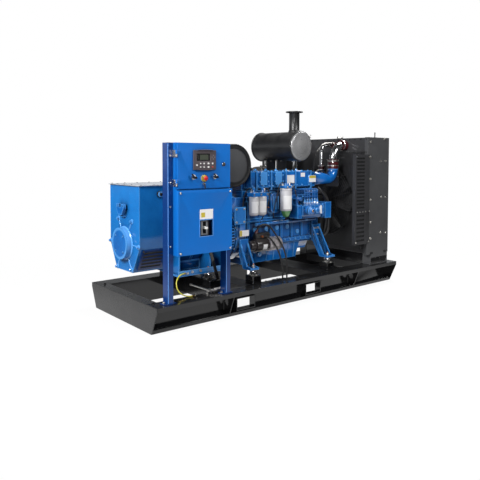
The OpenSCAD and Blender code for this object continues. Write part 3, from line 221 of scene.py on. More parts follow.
lamp("key", (-6.6, -1.6, 4.6), (-0.4, 0, 0.8), 1.9, 620)
lamp("camera_side", (0.8, -5.6, 4.4), (0.2, 0, 0.9), 1.6, 210)
lamp("rim", (3.2, 0.6, 4.8), (0, -0.2, 1.0), 2.2, 300)
lamp("edge", (-5.4, -5.2, 2.0), (0, 0, 1.0), 0.7, 110)

# %% [markdown]
# Every real paint film has some life in it: a fine ripple, patches that are a little duller, and dust
# where it faces up. One node group makes these masks for all finishes. It could be an image, but
# noise on object coordinates needs no unwrapping and has the same scale on every solid.


# %% The shared grain group
def new_group(name, inputs, outputs):
    """An empty node group with float inputs and float outputs."""
    group = bpy.data.node_groups.new(name, "ShaderNodeTree")
    for key, value in inputs.items():
        group.interface.new_socket(key, in_out="INPUT", socket_type="NodeSocketFloat").default_value = value
    for key in outputs:
        group.interface.new_socket(key, in_out="OUTPUT", socket_type="NodeSocketFloat")
    return group, add(group, "NodeGroupInput"), add(group, "NodeGroupOutput")


grain, given, result = new_group("grain", {"Fine": 900, "Coarse": 6}, ("Height", "Patch", "Dust", "Scuff"))
spot = add(grain, "ShaderNodeTexCoord")
fine = add(grain, "ShaderNodeTexNoise", {"Vector": spot.outputs["Object"], "Scale": given.outputs["Fine"],
                                         "Detail": 2})
coarse = add(grain, "ShaderNodeTexNoise", {"Vector": spot.outputs["Object"], "Scale": given.outputs["Coarse"],
                                           "Detail": 5, "Roughness": 0.65})
patch = add(grain, "ShaderNodeMapRange", {"Value": coarse.outputs["Fac"], "From Min": 0.35, "From Max": 0.68})
facing = add(grain, "ShaderNodeSeparateXYZ", {0: spot.outputs["Normal"]})
top = add(grain, "ShaderNodeMapRange", {"Value": facing.outputs["Z"], "From Min": 0.35, "From Max": 0.95})
dust = add(grain, "ShaderNodeMath", {0: top.outputs[0], 1: patch.outputs[0]}, operation="MULTIPLY")
stretch = add(grain, "ShaderNodeMapping", {"Vector": spot.outputs["Object"], "Rotation": (0.4, 0.7, 0.3),
                                           "Scale": (60, 9, 300)})
lines = add(grain, "ShaderNodeTexNoise", {"Vector": stretch.outputs[0], "Scale": 1.0, "Detail": 3})
scuff = add(grain, "ShaderNodeMapRange", {"Value": lines.outputs["Fac"], "From Min": 0.66, "From Max": 0.74})
for key, socket in (("Height", fine.outputs["Fac"]), ("Patch", patch.outputs[0]), ("Dust", dust.outputs[0]),
                    ("Scuff", scuff.outputs[0])):
    grain.links.new(socket, result.inputs[key])
print("group:", grain.name)

# %% [markdown]
# Paint and bare metal differ in few numbers: the colour, how dull it is, whether it is metal, and how
# deep its ripple goes. So one function builds them all.


# %% A finish from a few numbers
def finish(name, colour, shade=None, rough=(0.3, 0.42), metal=0.0, coat=0.0, fine=900, ripple=0.06, coarse=6,
           dust=0.12, scuffs=0.1, depth=0.0, edge=None, wide=0.014):
    """A material: colour and shade mix by patch, dust lies on top faces, and roughness follows both.
    Depth is painted shade that darkens crevices within 15 cm, and the edge colour is a painted highlight
    that lightens a rim that is wide metres across."""
    film = bpy.data.materials.new(name)
    film.use_nodes = True
    tree = film.node_tree
    shader = tree.nodes["Principled BSDF"]
    marks = add(tree, "ShaderNodeGroup", node_tree=grain)
    marks.inputs["Fine"].default_value = fine
    marks.inputs["Coarse"].default_value = coarse
    shade = shade or tuple(0.72 * c for c in colour)
    base = add(tree, "ShaderNodeMix", {0: marks.outputs["Patch"], 6: (*colour, 1), 7: (*shade, 1)}, data_type="RGBA")
    # Painted shade: the colour sinks to deep navy where ambient occlusion finds crevices.
    if depth:
        hollow = add(tree, "ShaderNodeAmbientOcclusion", {"Distance": 0.15}, samples=4)
        painted_shade_blend = add(tree, "ShaderNodeMapRange", {"Value": hollow.outputs["AO"], "From Min": 0.40, "From Max": 0.95,
                                                    "To Min": 1 - depth})
        base = add(tree, "ShaderNodeMix", {0: painted_shade_blend.outputs[0], 6: (0.0, 0.002, 0.016, 1), 7: base.outputs[2]},
                   data_type="RGBA")
    # Painted highlight: the edge colour lightens convex rims found by inward ambient occlusion.
    if edge:
        rim = add(tree, "ShaderNodeAmbientOcclusion", {"Distance": wide}, samples=4, inside=True)
        line = add(tree, "ShaderNodeMapRange", {"Value": rim.outputs["AO"], "From Min": 0.45, "From Max": 0.85,
                                                "To Min": 0.7, "To Max": 0.0})
        base = add(tree, "ShaderNodeMix", {0: line.outputs[0], 6: base.outputs[2], 7: (*edge, 1)}, data_type="RGBA")
    settled = add(tree, "ShaderNodeMath", {0: marks.outputs["Dust"], 1: dust}, operation="MULTIPLY")
    dusty = add(tree, "ShaderNodeMix", {0: settled.outputs[0], 6: base.outputs[2], 7: (0.34, 0.33, 0.31, 1)},
                data_type="RGBA")
    dull = add(tree, "ShaderNodeMapRange", {"Value": marks.outputs["Patch"], "To Min": rough[0], "To Max": rough[1]})
    rubbed = add(tree, "ShaderNodeMath", {0: marks.outputs["Scuff"], 1: scuffs}, operation="MULTIPLY")
    dull = add(tree, "ShaderNodeMath", {0: dull.outputs[0], 1: rubbed.outputs[0]}, operation="ADD", use_clamp=True)
    dull = add(tree, "ShaderNodeMath", {0: dull.outputs[0], 1: settled.outputs[0]}, operation="ADD", use_clamp=True)
    bump = add(tree, "ShaderNodeBump", {"Strength": ripple, "Distance": 0.001, "Height": marks.outputs["Height"]})
    tree.links.new(dusty.outputs[2], shader.inputs["Base Color"])
    tree.links.new(dull.outputs[0], shader.inputs["Roughness"])
    tree.links.new(bump.outputs[0], shader.inputs["Normal"])
    shader.inputs["Metallic"].default_value = metal
    shader.inputs["Coat Weight"].default_value = coat
    shader.inputs["Coat Roughness"].default_value = 0.06
    return film


print("every finish draws on", len(grain.nodes), "nodes of grain")

# %% [markdown]
# Each finish is one row of a table: its name, the record's slot that it stands in for where it has a
# name of its own, its colour and the shade it varies to, its dull range, and what else differs.

# %% Table of finishes
# In the rows, depth sets painted shade in crevices, and edge is the colour of a painted highlight on rims.
table = [
    ("engine_blue", "", (0.006, 0.165, 0.56), (0.003, 0.11, 0.42), (0.12, 0.2),
     dict(coat=0.9, ripple=0.12, dust=0.03, depth=0.97, edge=(0.11, 0.4, 0.86))),
    ("cabinet_blue", "", (0.002, 0.15, 0.56), (0.002, 0.138, 0.52), (0.3, 0.38),
     dict(fine=1400, dust=0.02, depth=0.5)),
    ("post_blue", "", (0.001, 0.034, 0.17), (0.001, 0.028, 0.145), (0.18, 0.24), dict(fine=1400, dust=0.05)),
    ("skid_black", "", (0.008, 0.008, 0.009), (0.011, 0.011, 0.012), (0.1, 0.14),
     dict(fine=700, ripple=0.02, dust=0.03, scuffs=0.05)),
    ("drum_black", "", (0.01, 0.01, 0.011), (0.018, 0.018, 0.019), (0.3, 0.42), dict(ripple=0.08)),
    ("radiator_grey", "", (0.07, 0.071, 0.074), (0.058, 0.059, 0.062), (0.3, 0.4), dict(fine=1400)),
    ("cast_iron", "", (0.09, 0.085, 0.082), (0.05, 0.043, 0.04), (0.55, 0.75),
     dict(metal=0.4, fine=500, ripple=0.35)),
    ("fins", "", (0.045, 0.046, 0.048), (0.03, 0.031, 0.033), (0.45, 0.6), dict(metal=0.5)),
    ("polished", "", (0.56, 0.56, 0.57), (0.47, 0.47, 0.48), (0.1, 0.2), dict(metal=1, fine=300, ripple=0.02)),
    ("steel_pipe", "", (0.56, 0.55, 0.53), (0.42, 0.4, 0.38), (0.24, 0.4), dict(metal=1)),
    ("lid_light", "", (0.54, 0.56, 0.6), (0.5, 0.52, 0.56), (0.2, 0.3), dict(metal=0.3, fine=600, dust=0.05)),
    ("silicone_red", "", (0.06, 0.004, 0.007), (0.042, 0.003, 0.005), (0.3, 0.42), dict(fine=500)),
    ("cable_black", "", (0.012, 0.012, 0.013), (0.02, 0.02, 0.021), (0.38, 0.5), dict(fine=600)),
    ("earth_yellow", "", (0.62, 0.56, 0.05), (0.52, 0.48, 0.04), (0.35, 0.45), {}),
    ("filter_white", "", (0.6, 0.59, 0.61), (0.5, 0.49, 0.51), (0.22, 0.32), dict(dust=0.05)),
    ("battery_grey", "", (0.03, 0.031, 0.033), (0.045, 0.046, 0.048), (0.45, 0.6), {}),
    ("panel_grey", "", (0.075, 0.06, 0.068), (0.065, 0.052, 0.06), (0.36, 0.46), dict(fine=2200)),
    ("breaker_grey", "", (0.22, 0.225, 0.235), (0.18, 0.185, 0.195), (0.4, 0.5), {}),
    ("lever_white", "", (0.76, 0.76, 0.74), (0.68, 0.68, 0.66), (0.35, 0.45), {}),
    ("stop_red", "", (0.56, 0.01, 0.012), (0.42, 0.008, 0.01), (0.22, 0.32), {}),
    ("mount_steel", "", (0.62, 0.61, 0.59), (0.48, 0.46, 0.42), (0.25, 0.42), dict(metal=1)),
    ("housing_blue", "engine_blue", (0.012, 0.19, 0.56), (0.008, 0.15, 0.47), (0.16, 0.24),
     dict(dust=0.05, depth=0.8, edge=(0.14, 0.42, 0.86), wide=0.01)),
    ("guard_black", "radiator_grey", (0.036, 0.036, 0.039), (0.028, 0.028, 0.03), (0.34, 0.44),
     dict(fine=1400)),
    ("plate_black", "skid_black", (0.012, 0.012, 0.013), (0.009, 0.009, 0.01), (0.24, 0.32), dict(dust=0.03)),
    ("member_black", "skid_black", (0.006, 0.006, 0.007), (0.009, 0.009, 0.01), (0.42, 0.52), dict(dust=0.03)),
    # The near silencer end's silver tone is a painted highlight; the far end keeps the drum's black.
    ("end_painted_highlight", "drum_black", (0.33, 0.33, 0.335), (0.28, 0.28, 0.285), (0.24, 0.3),
     dict(metal=0.4, dust=0)),
    # A near-black finish for sheets of painted shade laid in slots and openings.
    ("slot_painted_shade_black", "skid_black", (0.004, 0.004, 0.005), None, (0.5, 0.6), dict(dust=0)),
    ("breaker_dark", "breaker_grey", (0.03, 0.03, 0.034), None, (0.26, 0.36), dict(dust=0)),
    ("line_blue", "polished", (0.03, 0.14, 0.42), None, (0.12, 0.2), dict(dust=0)),
    ("display_black", "panel_grey", (0.012, 0.012, 0.014), None, (0.08, 0.14), dict(fine=300, dust=0)),
    ("key_grey", "panel_grey", (0.19, 0.165, 0.185), None, (0.36, 0.46), dict(dust=0)),
    ("display_green", "panel_grey", (0.07, 0.082, 0.062), None, (0.16, 0.24), dict(fine=300, dust=0)),
    ("grip_black", "panel_grey", (0.01, 0.01, 0.011), None, (0.28, 0.36), dict(fine=1800)),
    ("ring_yellow", "earth_yellow", (0.64, 0.52, 0.08), None, (0.3, 0.4), {}),
    ("key_red", "stop_red", (0.4, 0.06, 0.05), None, (0.35, 0.45), {}),
    ("label_white", "lever_white", (0.86, 0.85, 0.85), (0.8, 0.79, 0.79), (0.35, 0.45), dict(dust=0.03)),
    ("label_yellow", "earth_yellow", (0.64, 0.5, 0.06), None, (0.35, 0.45), dict(dust=0.03)),
    ("brass", "mount_steel", (0.6, 0.4, 0.13), (0.48, 0.31, 0.1), (0.22, 0.36), dict(metal=1)),
    ("copper", "mount_steel", (0.56, 0.22, 0.1), (0.42, 0.16, 0.07), (0.25, 0.4), dict(metal=1)),
    ("bowl_green", "filter_white", (0.03, 0.22, 0.06), (0.16, 0.26, 0.06), (0.06, 0.14),
     dict(coat=0.6, dust=0)),
    ("starter_dark", "drum_black", (0.022, 0.015, 0.015), None, (0.25, 0.35), {}),
    # The starter end bell's light grey is a painted reflection.
    ("starter_painted_reflection", "drum_black", (0.46, 0.43, 0.44), (0.34, 0.315, 0.325), (0.22, 0.32), dict(metal=0.25)),
    # A lighter blue that paints a highlight on rolled edges and trims.
    ("edge_painted_highlight_blue", "cabinet_blue", (0.12, 0.33, 0.78), (0.1, 0.29, 0.72), (0.22, 0.3), {}),
]
paint = {name: finish(name, colour, shade, rough, **more) for name, slot, colour, shade, rough, more in table}
print("finishes:", len(paint))

# %% [markdown]
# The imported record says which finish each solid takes. Assigning it to the solid's own slot dresses
# the whole set at once, before any fine piece is made.

# %% Dress the solids
slots = {part["node"]: part["material_slot"] for part in frame["record"]["subparts"]}
for node, thing in frame["nodes"].items():
    for slot in thing.material_slots:
        slot.material = paint[slots[node]]
print("dressed:", len(slots))

# %% [markdown]
# New pieces are surfaces worked out with numpy. Four shapes make nearly all of them: a turned
# profile, a prism on an outline, a tube along a route, and a bolt head repeated over a list of places.
# Each gives its points in millimetres and its faces as rows of point numbers, so shapes add up
# before one function turns them into a mesh. First come the places that shapes are built on.


# %% Places and directions
def box(node):
    """The lowest and highest corner of a solid, in millimetres."""
    low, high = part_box(node)
    return np.array(low) * 1000, np.array(high) * 1000


def aim(points, axis):
    """Turns a shape drawn along +Z so that it points along the axis, by swapping coordinates."""
    u, v, w = points[..., 0], points[..., 1], points[..., 2]
    ways = {"+z": (u, v, w), "-z": (u, -v, -w), "+x": (w, u, v), "-x": (-w, -u, v), "+y": (v, w, u),
            "-y": (-v, -w, u)}
    return np.stack(ways[axis], -1)


def evenly(count, start=0.0):
    """Angles in degrees that share out a full turn."""
    return start + np.arange(count) * 360 / count


def circle(x, y, z, r, degrees, axis="x"):
    """Places round an axis through x, y, z: one coordinate adds r cos a and the next r sin a. Two radii
    make an ellipse."""
    (wide, high), a = np.broadcast_to(r, 2), np.radians(degrees)
    across, up = wide * np.cos(a), high * np.sin(a)
    ways = {"x": (x, y + across, z + up), "y": (x + across, y, z + up), "z": (x + across, y + up, z)}
    return np.stack(np.broadcast_arrays(*ways[axis]), -1)


print("a quarter turn:", evenly(4))

# %% [markdown]
# A shape is a grid of points whose rows are joined by quads. A turned shape is what a lathe makes, and
# a prism is what is cut from a plate. Both are drawn upright and then aimed along an axis. A Screw
# modifier turns profiles too, but then a piece could hold only one of them.


# %% Turned shapes and prisms
def grid(points, close_rows=False, close_columns=True):
    """Quads between the rows and columns of a grid of points."""
    rows, columns = points.shape[:2]
    i, j = np.meshgrid(np.arange(rows if close_rows else rows - 1),
                       np.arange(columns if close_columns else columns - 1), indexing="ij")
    k, m = (i + 1) % rows, (j + 1) % columns
    quads = np.stack([i * columns + j, i * columns + m, k * columns + m, k * columns + j], -1)
    return points.reshape(-1, 3), [quads.reshape(-1, 4)]


def turned(profile, place, axis="+z", sides=32, turn=0.0):
    """Turns (radius, height) pairs about an axis: x = r cos a, y = r sin a, z = h."""
    radius, height = np.array(profile, float).T[:, :, None]
    angle = np.radians(turn) + np.linspace(0, 2 * np.pi, sides, endpoint=False)[None]
    drawn = np.stack([radius * np.cos(angle), radius * np.sin(angle), height + 0 * angle], -1)
    return grid(aim(drawn, axis) + np.array(place, float))


def outline_prism(outline, place, start, end, axis="+z"):
    """Carries a closed outline from one height to another and closes both ends with one face each."""
    outline = np.array(outline, float)
    count = len(outline)
    rings = np.stack([np.column_stack([outline, np.full(count, h)]) for h in (start, end)])
    points, faces = grid(aim(rings, axis) + np.array(place, float))
    return points, faces + [np.arange(count)[None], np.arange(count)[None] + count]


def round_box(low, high, corner=4, axis="+z", steps=4):
    """A box whose outline has quarter-circle corners, seen along its axis."""
    low, high = np.array(low, float), np.array(high, float)
    middle = (low + high) / 2
    half = (high - low)[{"x": [1, 2], "y": [2, 0], "z": [0, 1]}[axis[1]]] / 2
    depth = (high - low)[{"x": 0, "y": 1, "z": 2}[axis[1]]] / 2
    corner = min(corner, *(half * 0.98))
    angle = np.radians(np.add.outer(np.arange(4) * 90, np.linspace(0, 90, steps)).ravel())
    signs = np.repeat([[1, 1], [-1, 1], [-1, -1], [1, -1]], steps, axis=0)
    outline = signs * (half - corner) + corner * np.column_stack([np.cos(angle), np.sin(angle)])
    return outline_prism(outline, middle, -depth, depth, axis)


print("faces of a round box:", sum(len(block) for block in round_box((0, 0, 0), (20, 20, 5))[1]))

# %% [markdown]
# Pipes, cables and ribs are tubes: a smooth route with a ring of points round each of its points. The
# ring is turned square to the route by two cross products. A bevelled curve looks the same, yet its
# length and its points are not at hand as numbers.


# %% Routes and tubes
def smooth_route(points, steps=6):
    """A cubic B-spline through the neighbourhood of the points, clamped at both ends: each stretch is
    the blend (1-t)^3/6, (3t^3-6t^2+4)/6, (-3t^3+3t^2+3t+1)/6, t^3/6 of four neighbouring points."""
    p = np.array(points, float)
    p = np.vstack([2 * p[0] - p[1], p, 2 * p[-1] - p[-2]])
    t = np.arange(steps)[:, None] / steps
    blend = np.hstack([(1 - t) ** 3, 3 * t ** 3 - 6 * t ** 2 + 4, -3 * t ** 3 + 3 * t ** 2 + 3 * t + 1, t ** 3]) / 6
    four = np.stack([p[:-3], p[1:-2], p[2:-1], p[3:]], 1)
    way = (blend @ four).reshape(-1, 3)
    return np.vstack([way, points[-1]])


def tube(route, radius, side=(0, 1, 0.05), sides=12, capped=True):
    """A ring of points round each point of a route, square to the way it heads; radius may vary."""
    route = np.array(route, float)
    heading = np.gradient(route, axis=0)
    heading /= np.linalg.norm(heading, axis=1)[:, None]
    across = np.cross(heading, np.array(side, float))
    across /= np.linalg.norm(across, axis=1)[:, None]
    other = np.cross(heading, across)
    radius = np.broadcast_to(np.array(radius, float), len(route))[:, None, None]
    angle = np.linspace(0, 2 * np.pi, sides, endpoint=False)[None, :, None]
    rings = route[:, None] + radius * (np.cos(angle) * across[:, None] + np.sin(angle) * other[:, None])
    points, faces = grid(rings)
    ends = [np.arange(sides)[None], np.arange(sides)[None] + len(points) - sides] if capped else []
    return points, faces + ends


print("points on a bend:", len(smooth_route([(0, 0, 0), (50, 0, 0), (50, 50, 0)])))

# %% [markdown]
# Fasteners come by the hundred, so one head is drawn and moved to each place, as whole arrays. A head
# has only a few dozen faces, with the chamfer or dome that catches the light.


# %% Bolts, screws and clamps
def repeated(shape, places):
    """The same shape moved to each place."""
    points, faces = shape
    places = np.atleast_2d(np.array(places, float))
    step = np.arange(len(places)) * len(points)
    moved = (places[:, None] + points[None]).reshape(-1, 3)
    return moved, [(step[:, None, None] + block[None]).reshape(-1, block.shape[1]) for block in faces]


def bolts(places, axis="+z", across=16, high=None, washer=True, turn=10):
    """Hexagon heads with a chamfered crown on thin washers; across is the width over the flats."""
    r = across / 2 / math.cos(math.radians(30))
    h = high or 0.62 * across
    base = 0.14 * across if washer else 0
    crown = [(0, base + h), (0.84 * r, base + h), (r, base + 0.84 * h), (r, base), (0, base)]
    head = turned(crown, (0, 0, 0), axis, 6, turn)
    shapes = [repeated(head, places)]
    if washer:
        ring = [(0, base), (1.22 * r, base), (1.22 * r, 0), (0, 0)]
        shapes.append(repeated(turned(ring, (0, 0, 0), axis, 14), places))
    return shapes


def screws(places, axis="+z", r=6):
    """Low pan heads: a short rim that runs over a flat dome."""
    dome = [(0, 0.62 * r), (0.5 * r, 0.56 * r), (0.85 * r, 0.36 * r), (r, 0.12 * r), (r, 0), (0, 0)]
    return [repeated(turned(dome, (0, 0, 0), axis, 12), places)]


def both_sides(fastener, places, *sizes):
    """The same fasteners on the far flank, where their heads point to +y, and mirrored on the near one."""
    return fastener(places, "+y", *sizes) + fastener([(x, -y, z) for x, y, z in places], "-y", *sizes)


def clamp(place, axis, r, wide=12):
    """A worm-drive hose clamp: a thin rolled band with its screw housing on one side."""
    band = [(r, 0), (r + 1.6, 0.8), (r + 1.0, wide / 2), (r + 1.6, wide - 0.8), (r, wide), (r - 1, wide / 2)]
    ring = turned(band + band[:1], place, axis, 40)
    at = np.array(place, float) + aim(np.array([0.0, r + 4.5, wide / 2]), axis)
    screw = turned([(0, 13), (3.6, 13), (4.6, 10), (4.6, -9), (5.6, -9), (5.6, -14), (0, -14)], at,
                   {"x": "+y", "y": "+x", "z": "+x"}[axis[1]], 8)
    return [ring, screw]


print("faces of a bolt head:", sum(len(f) for _, blocks in bolts([(0, 0, 0)]) for f in blocks))

# %% [markdown]
# The shapes of a piece are joined into one mesh. Doubled points are merged, so seams and poles close,
# and then the faces are pointed outwards. The piece rides on its body and takes its finish.


# %% From shapes to a piece
def piece(name, shapes, material, body="stand", instead_of=(), bevel=0.0, sharp=38):
    """Joins shapes into one closed mesh in metres, points its faces outwards and lets it ride."""
    starts = np.cumsum([0] + [len(points) for points, faces in shapes])
    points = np.vstack([points for points, faces in shapes]) / 1000
    faces = [row for start, (_, blocks) in zip(starts, shapes) for block in blocks
             for row in (block + start).tolist()]
    mesh = bpy.data.meshes.new(name)
    mesh.from_pydata(points.tolist(), [], faces)
    tidy = bmesh.new()
    tidy.from_mesh(mesh)
    bmesh.ops.remove_doubles(tidy, verts=tidy.verts, dist=2e-6)
    bmesh.ops.recalc_face_normals(tidy, faces=tidy.faces)
    tidy.to_mesh(mesh)
    tidy.free()
    return dress(bpy.data.objects.new(name, mesh), material, body, instead_of, bevel, sharp)


def dress(thing, material, body="stand", instead_of=(), bevel=0.0, sharp=38):
    """Gives an object its finish, smooth shading, an optional rounded rim and the body it rides on."""
    thing.data.materials.clear()
    thing.data.materials.append(paint[material])
    thing.data.shade_smooth()
    thing.data.set_sharp_from_angle(angle=math.radians(sharp))
    scene.collection.objects.link(thing)
    if bevel:
        rim = thing.modifiers.new("rim", "BEVEL")
        rim.width = bevel / 1000
        rim.segments = 2
        rim.limit_method = "ANGLE"
        rim.angle_limit = math.radians(38)
        rim.harden_normals = True
    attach(thing, body)
    if instead_of:
        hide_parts(*instead_of)
    made.append((thing.name, len(thing.data.polygons)))
    return thing


made = []
print("pieces start with", len(frame["nodes"]), "solids")

# %% [markdown]
# Sheet metal and castings never end in a knife edge: the press and the paint round them, and the
# thin highlight there is what the eye reads as thickness. The solids keep their shape. A merged copy
# of each gets a live Bevel of a few tenths to a few millimetres and stands for the solid.


# %% Round the rims of the solids
def rounded_copy(node, width, material):
    """A copy of a solid with merged points and flat faces joined, which a Bevel modifier can round."""
    copy = frame["nodes"][node].data.copy()
    tidy = bmesh.new()
    tidy.from_mesh(copy)
    bmesh.ops.remove_doubles(tidy, verts=tidy.verts, dist=1e-5)
    bmesh.ops.dissolve_limit(tidy, angle_limit=math.radians(0.6), verts=tidy.verts, edges=tidy.edges)
    tidy.to_mesh(copy)
    tidy.free()
    copy.normals_split_custom_set([(0, 0, 0)] * len(copy.loops))
    body = frame["nodes"][node]["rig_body"]
    return dress(bpy.data.objects.new(node + "_rounded", copy), material, body, (node,), width)


rims = {
    1.5: ["near_rail", "far_rail", "rear_end_plate", "front_end_plate", "cross_members", "mount_brackets",
          "radiator_frame", "side_guards", "stand_posts", "upper_cabinet", "lower_cabinet", "cabinet_door",
          "fan_ring", "silencer_bracket", "air_bracket", "elbow_shield", "battery_tray"],
    3.0: ["alternator_lid", "header_tank", "batteries", "breaker", "controller", "engine_feet"],
    5.0: ["alternator_housing", "cylinder_block", "timing_case", "cylinder_heads", "rocker_covers", "lower_cover",
          "intake_manifold", "flywheel_housing", "injection_pump", "oil_sump"],
}
finish_of = {"breaker": "breaker_dark", "cross_members": "member_black", "alternator_housing": "housing_blue",
             "side_guards": "guard_black", "header_tank": "guard_black", "rear_end_plate": "plate_black"}
for width, nodes in rims.items():
    for node in nodes:
        rounded_copy(node, width, finish_of.get(node, slots[node]))
print("rounded:", sum(len(nodes) for nodes in rims.values()))

# %% [markdown]
# The cables come next. Two starter leads rise from the solenoid's studs, arch over the starter and
# drop to the batteries, and a yellow earth lead swings from the alternator's foot round to the rail. Each
# repeats the drawing's own route along a smooth line.

# %% Starter leads and earth lead
stud_lead = [(-290, -290, 698), (-281, -290, 713), (-271, -290, 729), (-255, -293, 746), (-231, -297, 760),
             (-202, -304, 766), (-170, -312, 760), (-144, -322, 740), (-119, -333, 708), (-97, -345, 673),
             (-77, -358, 637), (-58, -373, 600), (-33, -382, 556), (-6, -382, 509), (18, -378, 460), (35, -376, 410),
             (44, -375, 360), (45, -374, 305), (45, -374, 250), (45, -374, 214), (45, -374, 198), (45, -374, 182)]
side_lead = [(-250, -338, 652), (-238, -338, 652), (-226, -338, 652), (-206, -341, 650), (-186, -347, 642),
             (-167, -358, 627), (-150, -370, 605), (-131, -379, 573), (-107, -384, 535), (-82, -385, 491),
             (-59, -384, 443), (-39, -382, 395), (-24, -379, 346), (-15, -376, 297), (-13, -374, 250),
             (-13, -374, 214), (-13, -374, 198), (-13, -374, 182)]
earth = [(-1160, -351, 412), (-1170, -351, 412), (-1180, -351, 412), (-1204, -352, 410), (-1231, -356, 400),
         (-1254, -363, 384), (-1271, -373, 361), (-1281, -385, 334), (-1283, -399, 306), (-1276, -413, 281),
         (-1260, -427, 261), (-1238, -439, 247), (-1214, -448, 239), (-1190, -453, 236), (-1170, -455, 236),
         (-1160, -455, 236), (-1150, -455, 236)]


def lead(name, points, radius, material, node, side):
    """A round cable along its route. Its ends go into a lug or a post."""
    route = smooth_route(points, 5)
    cable = piece(name, [tube(route, radius, side, 14)], material, instead_of=(node,))
    return cable


lead("starter_lead_stud", stud_lead, 8, "cable_black", "starter_cables", (0, 1, 0.05))
lead("starter_lead_side", side_lead, 8, "cable_black", "starter_cables", (0, 1, 0.05))
lead("earth_lead_cable", earth, 5, "earth_yellow", "earth_lead", (0.2, 0.8, -0.6))

# %% [markdown]
# The control stand is what the eye meets first. The controller is a moulded case with bulging edges,
# a sunk display and soft, plain keys. The bulge is half an ellipse: sqrt(1 - t^2) along each edge.

# %% Controller
case_low, case_high = box("controller")
panel_x, panel_z = (case_low[0] + case_high[0]) / 2, (case_low[2] + case_high[2]) / 2
panel_y = case_low[1]


def on_panel(x, z, out=0.0):
    """A place on the controller's face: millimetres right of its middle, above it, and out of it."""
    return np.array([panel_x + x, panel_y - out, panel_z + z])


def key_cap(x, z, wide, high):
    """A soft key: a rounded block that stands 2.4 mm out of the face."""
    low, high = on_panel(x - wide / 2, z - high / 2, 2.4), on_panel(x + wide / 2, z + high / 2, -0.5)
    return round_box(low, high, 4, "+y")


bow = np.linspace(-1, 1, 17)
crown = np.column_stack([6 * (1 - bow ** 2) ** 0.5 - 1, -bow * 84])
lips = [outline_prism(crown * (s, 1), on_panel(0, s * 79), 1, 12.5, "-y") for s in (1, -1)]
piece("controller_lips", lips, "panel_grey", "door", bevel=2)
window = [round_box(on_panel(-81, -10, -3), on_panel(53, 54, -4.5), 2, "+y")]
piece("controller_window", window, "display_black", "door", bevel=0.3)
display = [round_box(on_panel(-50, 1, -2), on_panel(34, 43, -3.2), 1, "+y")]
piece("controller_display", display, "display_green", "door")
arrows = [key_cap(x, z, 12, 10) for x, z in ((84, 38), (84, 8), (70, 23), (98, 23))]
piece("controller_arrow_keys", arrows, "key_grey", "door", bevel=1.2)
modes = [key_cap(x, z, *size) for x, size in ((-46, (12, 11)), (-11, (13, 12)), (34, (18, 14)), (76, (14, 13)))
         for z in (-29, -58)][:-1]
modes += [key_cap(-82, -42, 15, 14)]
piece("controller_mode_keys", modes, "lever_white", "door", bevel=1.4)
piece("controller_stop_key", [key_cap(76, -58, 16, 14)], "key_red", "door", bevel=1.4)
lamps = [turned([(0, 1.4), (2.2, 0.9), (2.8, 0), (0, 0)], on_panel(-70, z, -2.6), "-y", 12) for z in (8, 20, 32)]
piece("controller_lamps", lamps, "display_green", "door")
print("keys:", len(arrows) + len(modes) + 1)

# %% [markdown]
# Below it sit two lever switches in chrome collars. A knurled rim is a turned ring whose radius ripples
# with the angle. The levers stand at a slant, so their outline is turned before it becomes a prism.

# %% Lever switches
door_face = box("cabinet_door")[0][1] + 10


def knurled(profile, place, axis, ribs, depth, sides=120):
    """A turned profile whose outer radii ripple: r (1 + depth cos(ribs a))."""
    radius, height = np.array(profile, float).T[:, :, None]
    angle = np.linspace(0, 2 * np.pi, sides, endpoint=False)[None]
    wave = 1 + depth * np.cos(ribs * angle) * (radius > 0.8 * radius.max())
    drawn = np.stack([radius * wave * np.cos(angle), radius * wave * np.sin(angle), height + 0 * angle], -1)
    return grid(aim(drawn, axis) + np.array(place, float))


collar = [(9, 0), (9, 9.5), (13, 10), (16.4, 8), (17, 4), (19, 3), (19, 0), (9, 0)]
slant = math.radians(-38)
for name, body in (("key_switch_left", "left_switch"), ("key_switch_right", "right_switch")):
    low, high = box(name)
    at = np.array([(low[0] + high[0]) / 2, door_face, (low[2] + high[2]) / 2])
    piece(name + "_collar", [knurled(collar, at, "-y", 24, 0.02)], "polished", "door")
    blade = np.array([(-6, -12), (6, -12), (7.5, 0), (6, 20), (3.4, 43), (-3.4, 43), (-6, 20), (-7.5, 0)])
    blade = np.column_stack([blade @ (math.cos(slant), -math.sin(slant)),
                             -blade @ (math.sin(slant), math.cos(slant))])
    lever = outline_prism(blade * (1, -1), at, 25, 43.5, "-y")
    mark = outline_prism((blade * 0.42 + blade[3:5].mean(axis=0) * 0.5) * (1, -1), at, 43, 43.9, "-y")
    piece(name + "_mark", [mark], "label_white", body)
    hub = turned([(0, 27), (11.5, 26), (12.4, 24), (12.4, 11.2), (0, 11.2)], at, "-y", 32)
    piece(name + "_lever", [hub, (lever[0], lever[1])], "grip_black", body, (name,), bevel=1.2)
print("switches at", np.round(at))

# %% [markdown]
# The red stop button stands on its yellow ring, with a key in the barrel under it. The door's lock is a
# small chrome disc. All are lathe work, so each is a short list of radii and heights, and the slots
# and the key's bow are thin boxes laid over them, which needs no cutting.

